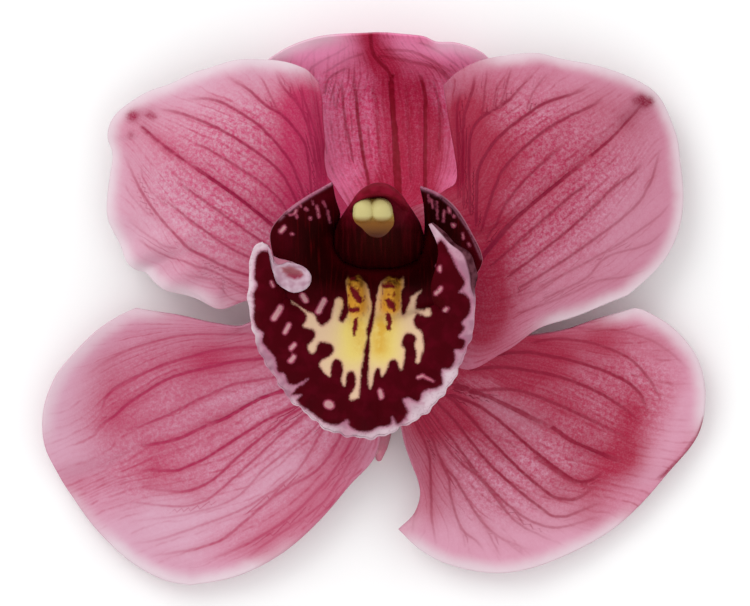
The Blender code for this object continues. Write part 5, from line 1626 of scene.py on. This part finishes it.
class BLOOM_OT_stage(Operator):
    """Set the floor, the soft light and the camera"""

    bl_idname = "bloom.stage"
    bl_label = "Stage"

    def execute(self, context):
        sizes = context.scene.bloom_stage
        scene = context.scene
        scene.view_settings.view_transform = "Standard"

        def placed(name, data, place=(0, 0, 0)):
            piece = bpy.data.objects.new(name, data)
            piece.location = place
            scene.collection.objects.link(piece)
            return piece

        mesh = bpy.data.meshes.new("floor")
        corners = [(x * FLOOR_HALF, y * FLOOR_HALF, 0) for x, y in ((-1, -1), (1, -1), (1, 1), (-1, 1))]
        mesh.from_pydata(corners, [], [(0, 1, 2, 3)])
        mesh.materials.append(Finish("floor").shade(base_colour=sizes.floor, roughness=0.9))
        placed("floor", mesh)
        world = bpy.data.worlds.new("daylight")
        world.use_nodes = True
        background = world.node_tree.nodes["Background"].inputs
        background["Color"].default_value = (1, 1, 1, 1)
        background["Strength"].default_value = sizes.daylight
        scene.world = world
        lamp = bpy.data.lights.new("lamp", "AREA")
        lamp.energy = sizes.lamp
        lamp.size = LAMP_SIZE
        placed("lamp", lamp, LAMP_PLACE).rotation_euler = np.radians(LAMP_TILT)
        camera = bpy.data.cameras.new("camera")
        camera.lens = sizes.lens
        scene.camera = placed("camera", camera, (*CAMERA_XY, sizes.camera_height))
        return {"FINISHED"}


class BLOOM_PT_panel(Panel):
    """The bloom's pieces and sizes"""

    bl_idname = "BLOOM_PT_panel"
    bl_label = "Cymbidium Bloom"
    bl_space_type = "VIEW_3D"
    bl_region_type = "UI"
    bl_category = "Bloom"

    def draw(self, context):
        for operator in OPERATORS:
            self.layout.operator(operator.bl_idname)
        for name, _ in SETTINGS:
            settings = getattr(context.scene, name)
            for field in settings.__annotations__:
                self.layout.prop(settings, field)


OPERATORS = (BLOOM_OT_tepals, BLOOM_OT_lip, BLOOM_OT_column, BLOOM_OT_cap, BLOOM_OT_pedicel, BLOOM_OT_stage)
SETTINGS = (
    ("bloom_tepals", TepalSettings),
    ("bloom_lip", LipSettings),
    ("bloom_column", ColumnSettings),
    ("bloom_stage", StageSettings),
)


def register():
    for _, settings in SETTINGS:
        bpy.utils.register_class(settings)
    for name, settings in SETTINGS:
        setattr(bpy.types.Scene, name, PointerProperty(type=settings))
    for operator in OPERATORS:
        bpy.utils.register_class(operator)
    bpy.utils.register_class(BLOOM_PT_panel)


def unregister():
    bpy.utils.unregister_class(BLOOM_PT_panel)
    for operator in reversed(OPERATORS):
        bpy.utils.unregister_class(operator)
    for name, settings in reversed(SETTINGS):
        delattr(bpy.types.Scene, name)
        bpy.utils.unregister_class(settings)


def main():
    register()
    bpy.ops.bloom.tepals()
    bpy.ops.bloom.lip()
    bpy.ops.bloom.column()
    bpy.ops.bloom.cap()
    bpy.ops.bloom.pedicel()
    bpy.ops.bloom.stage()
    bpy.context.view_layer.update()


if __name__ == "__main__":
    main()
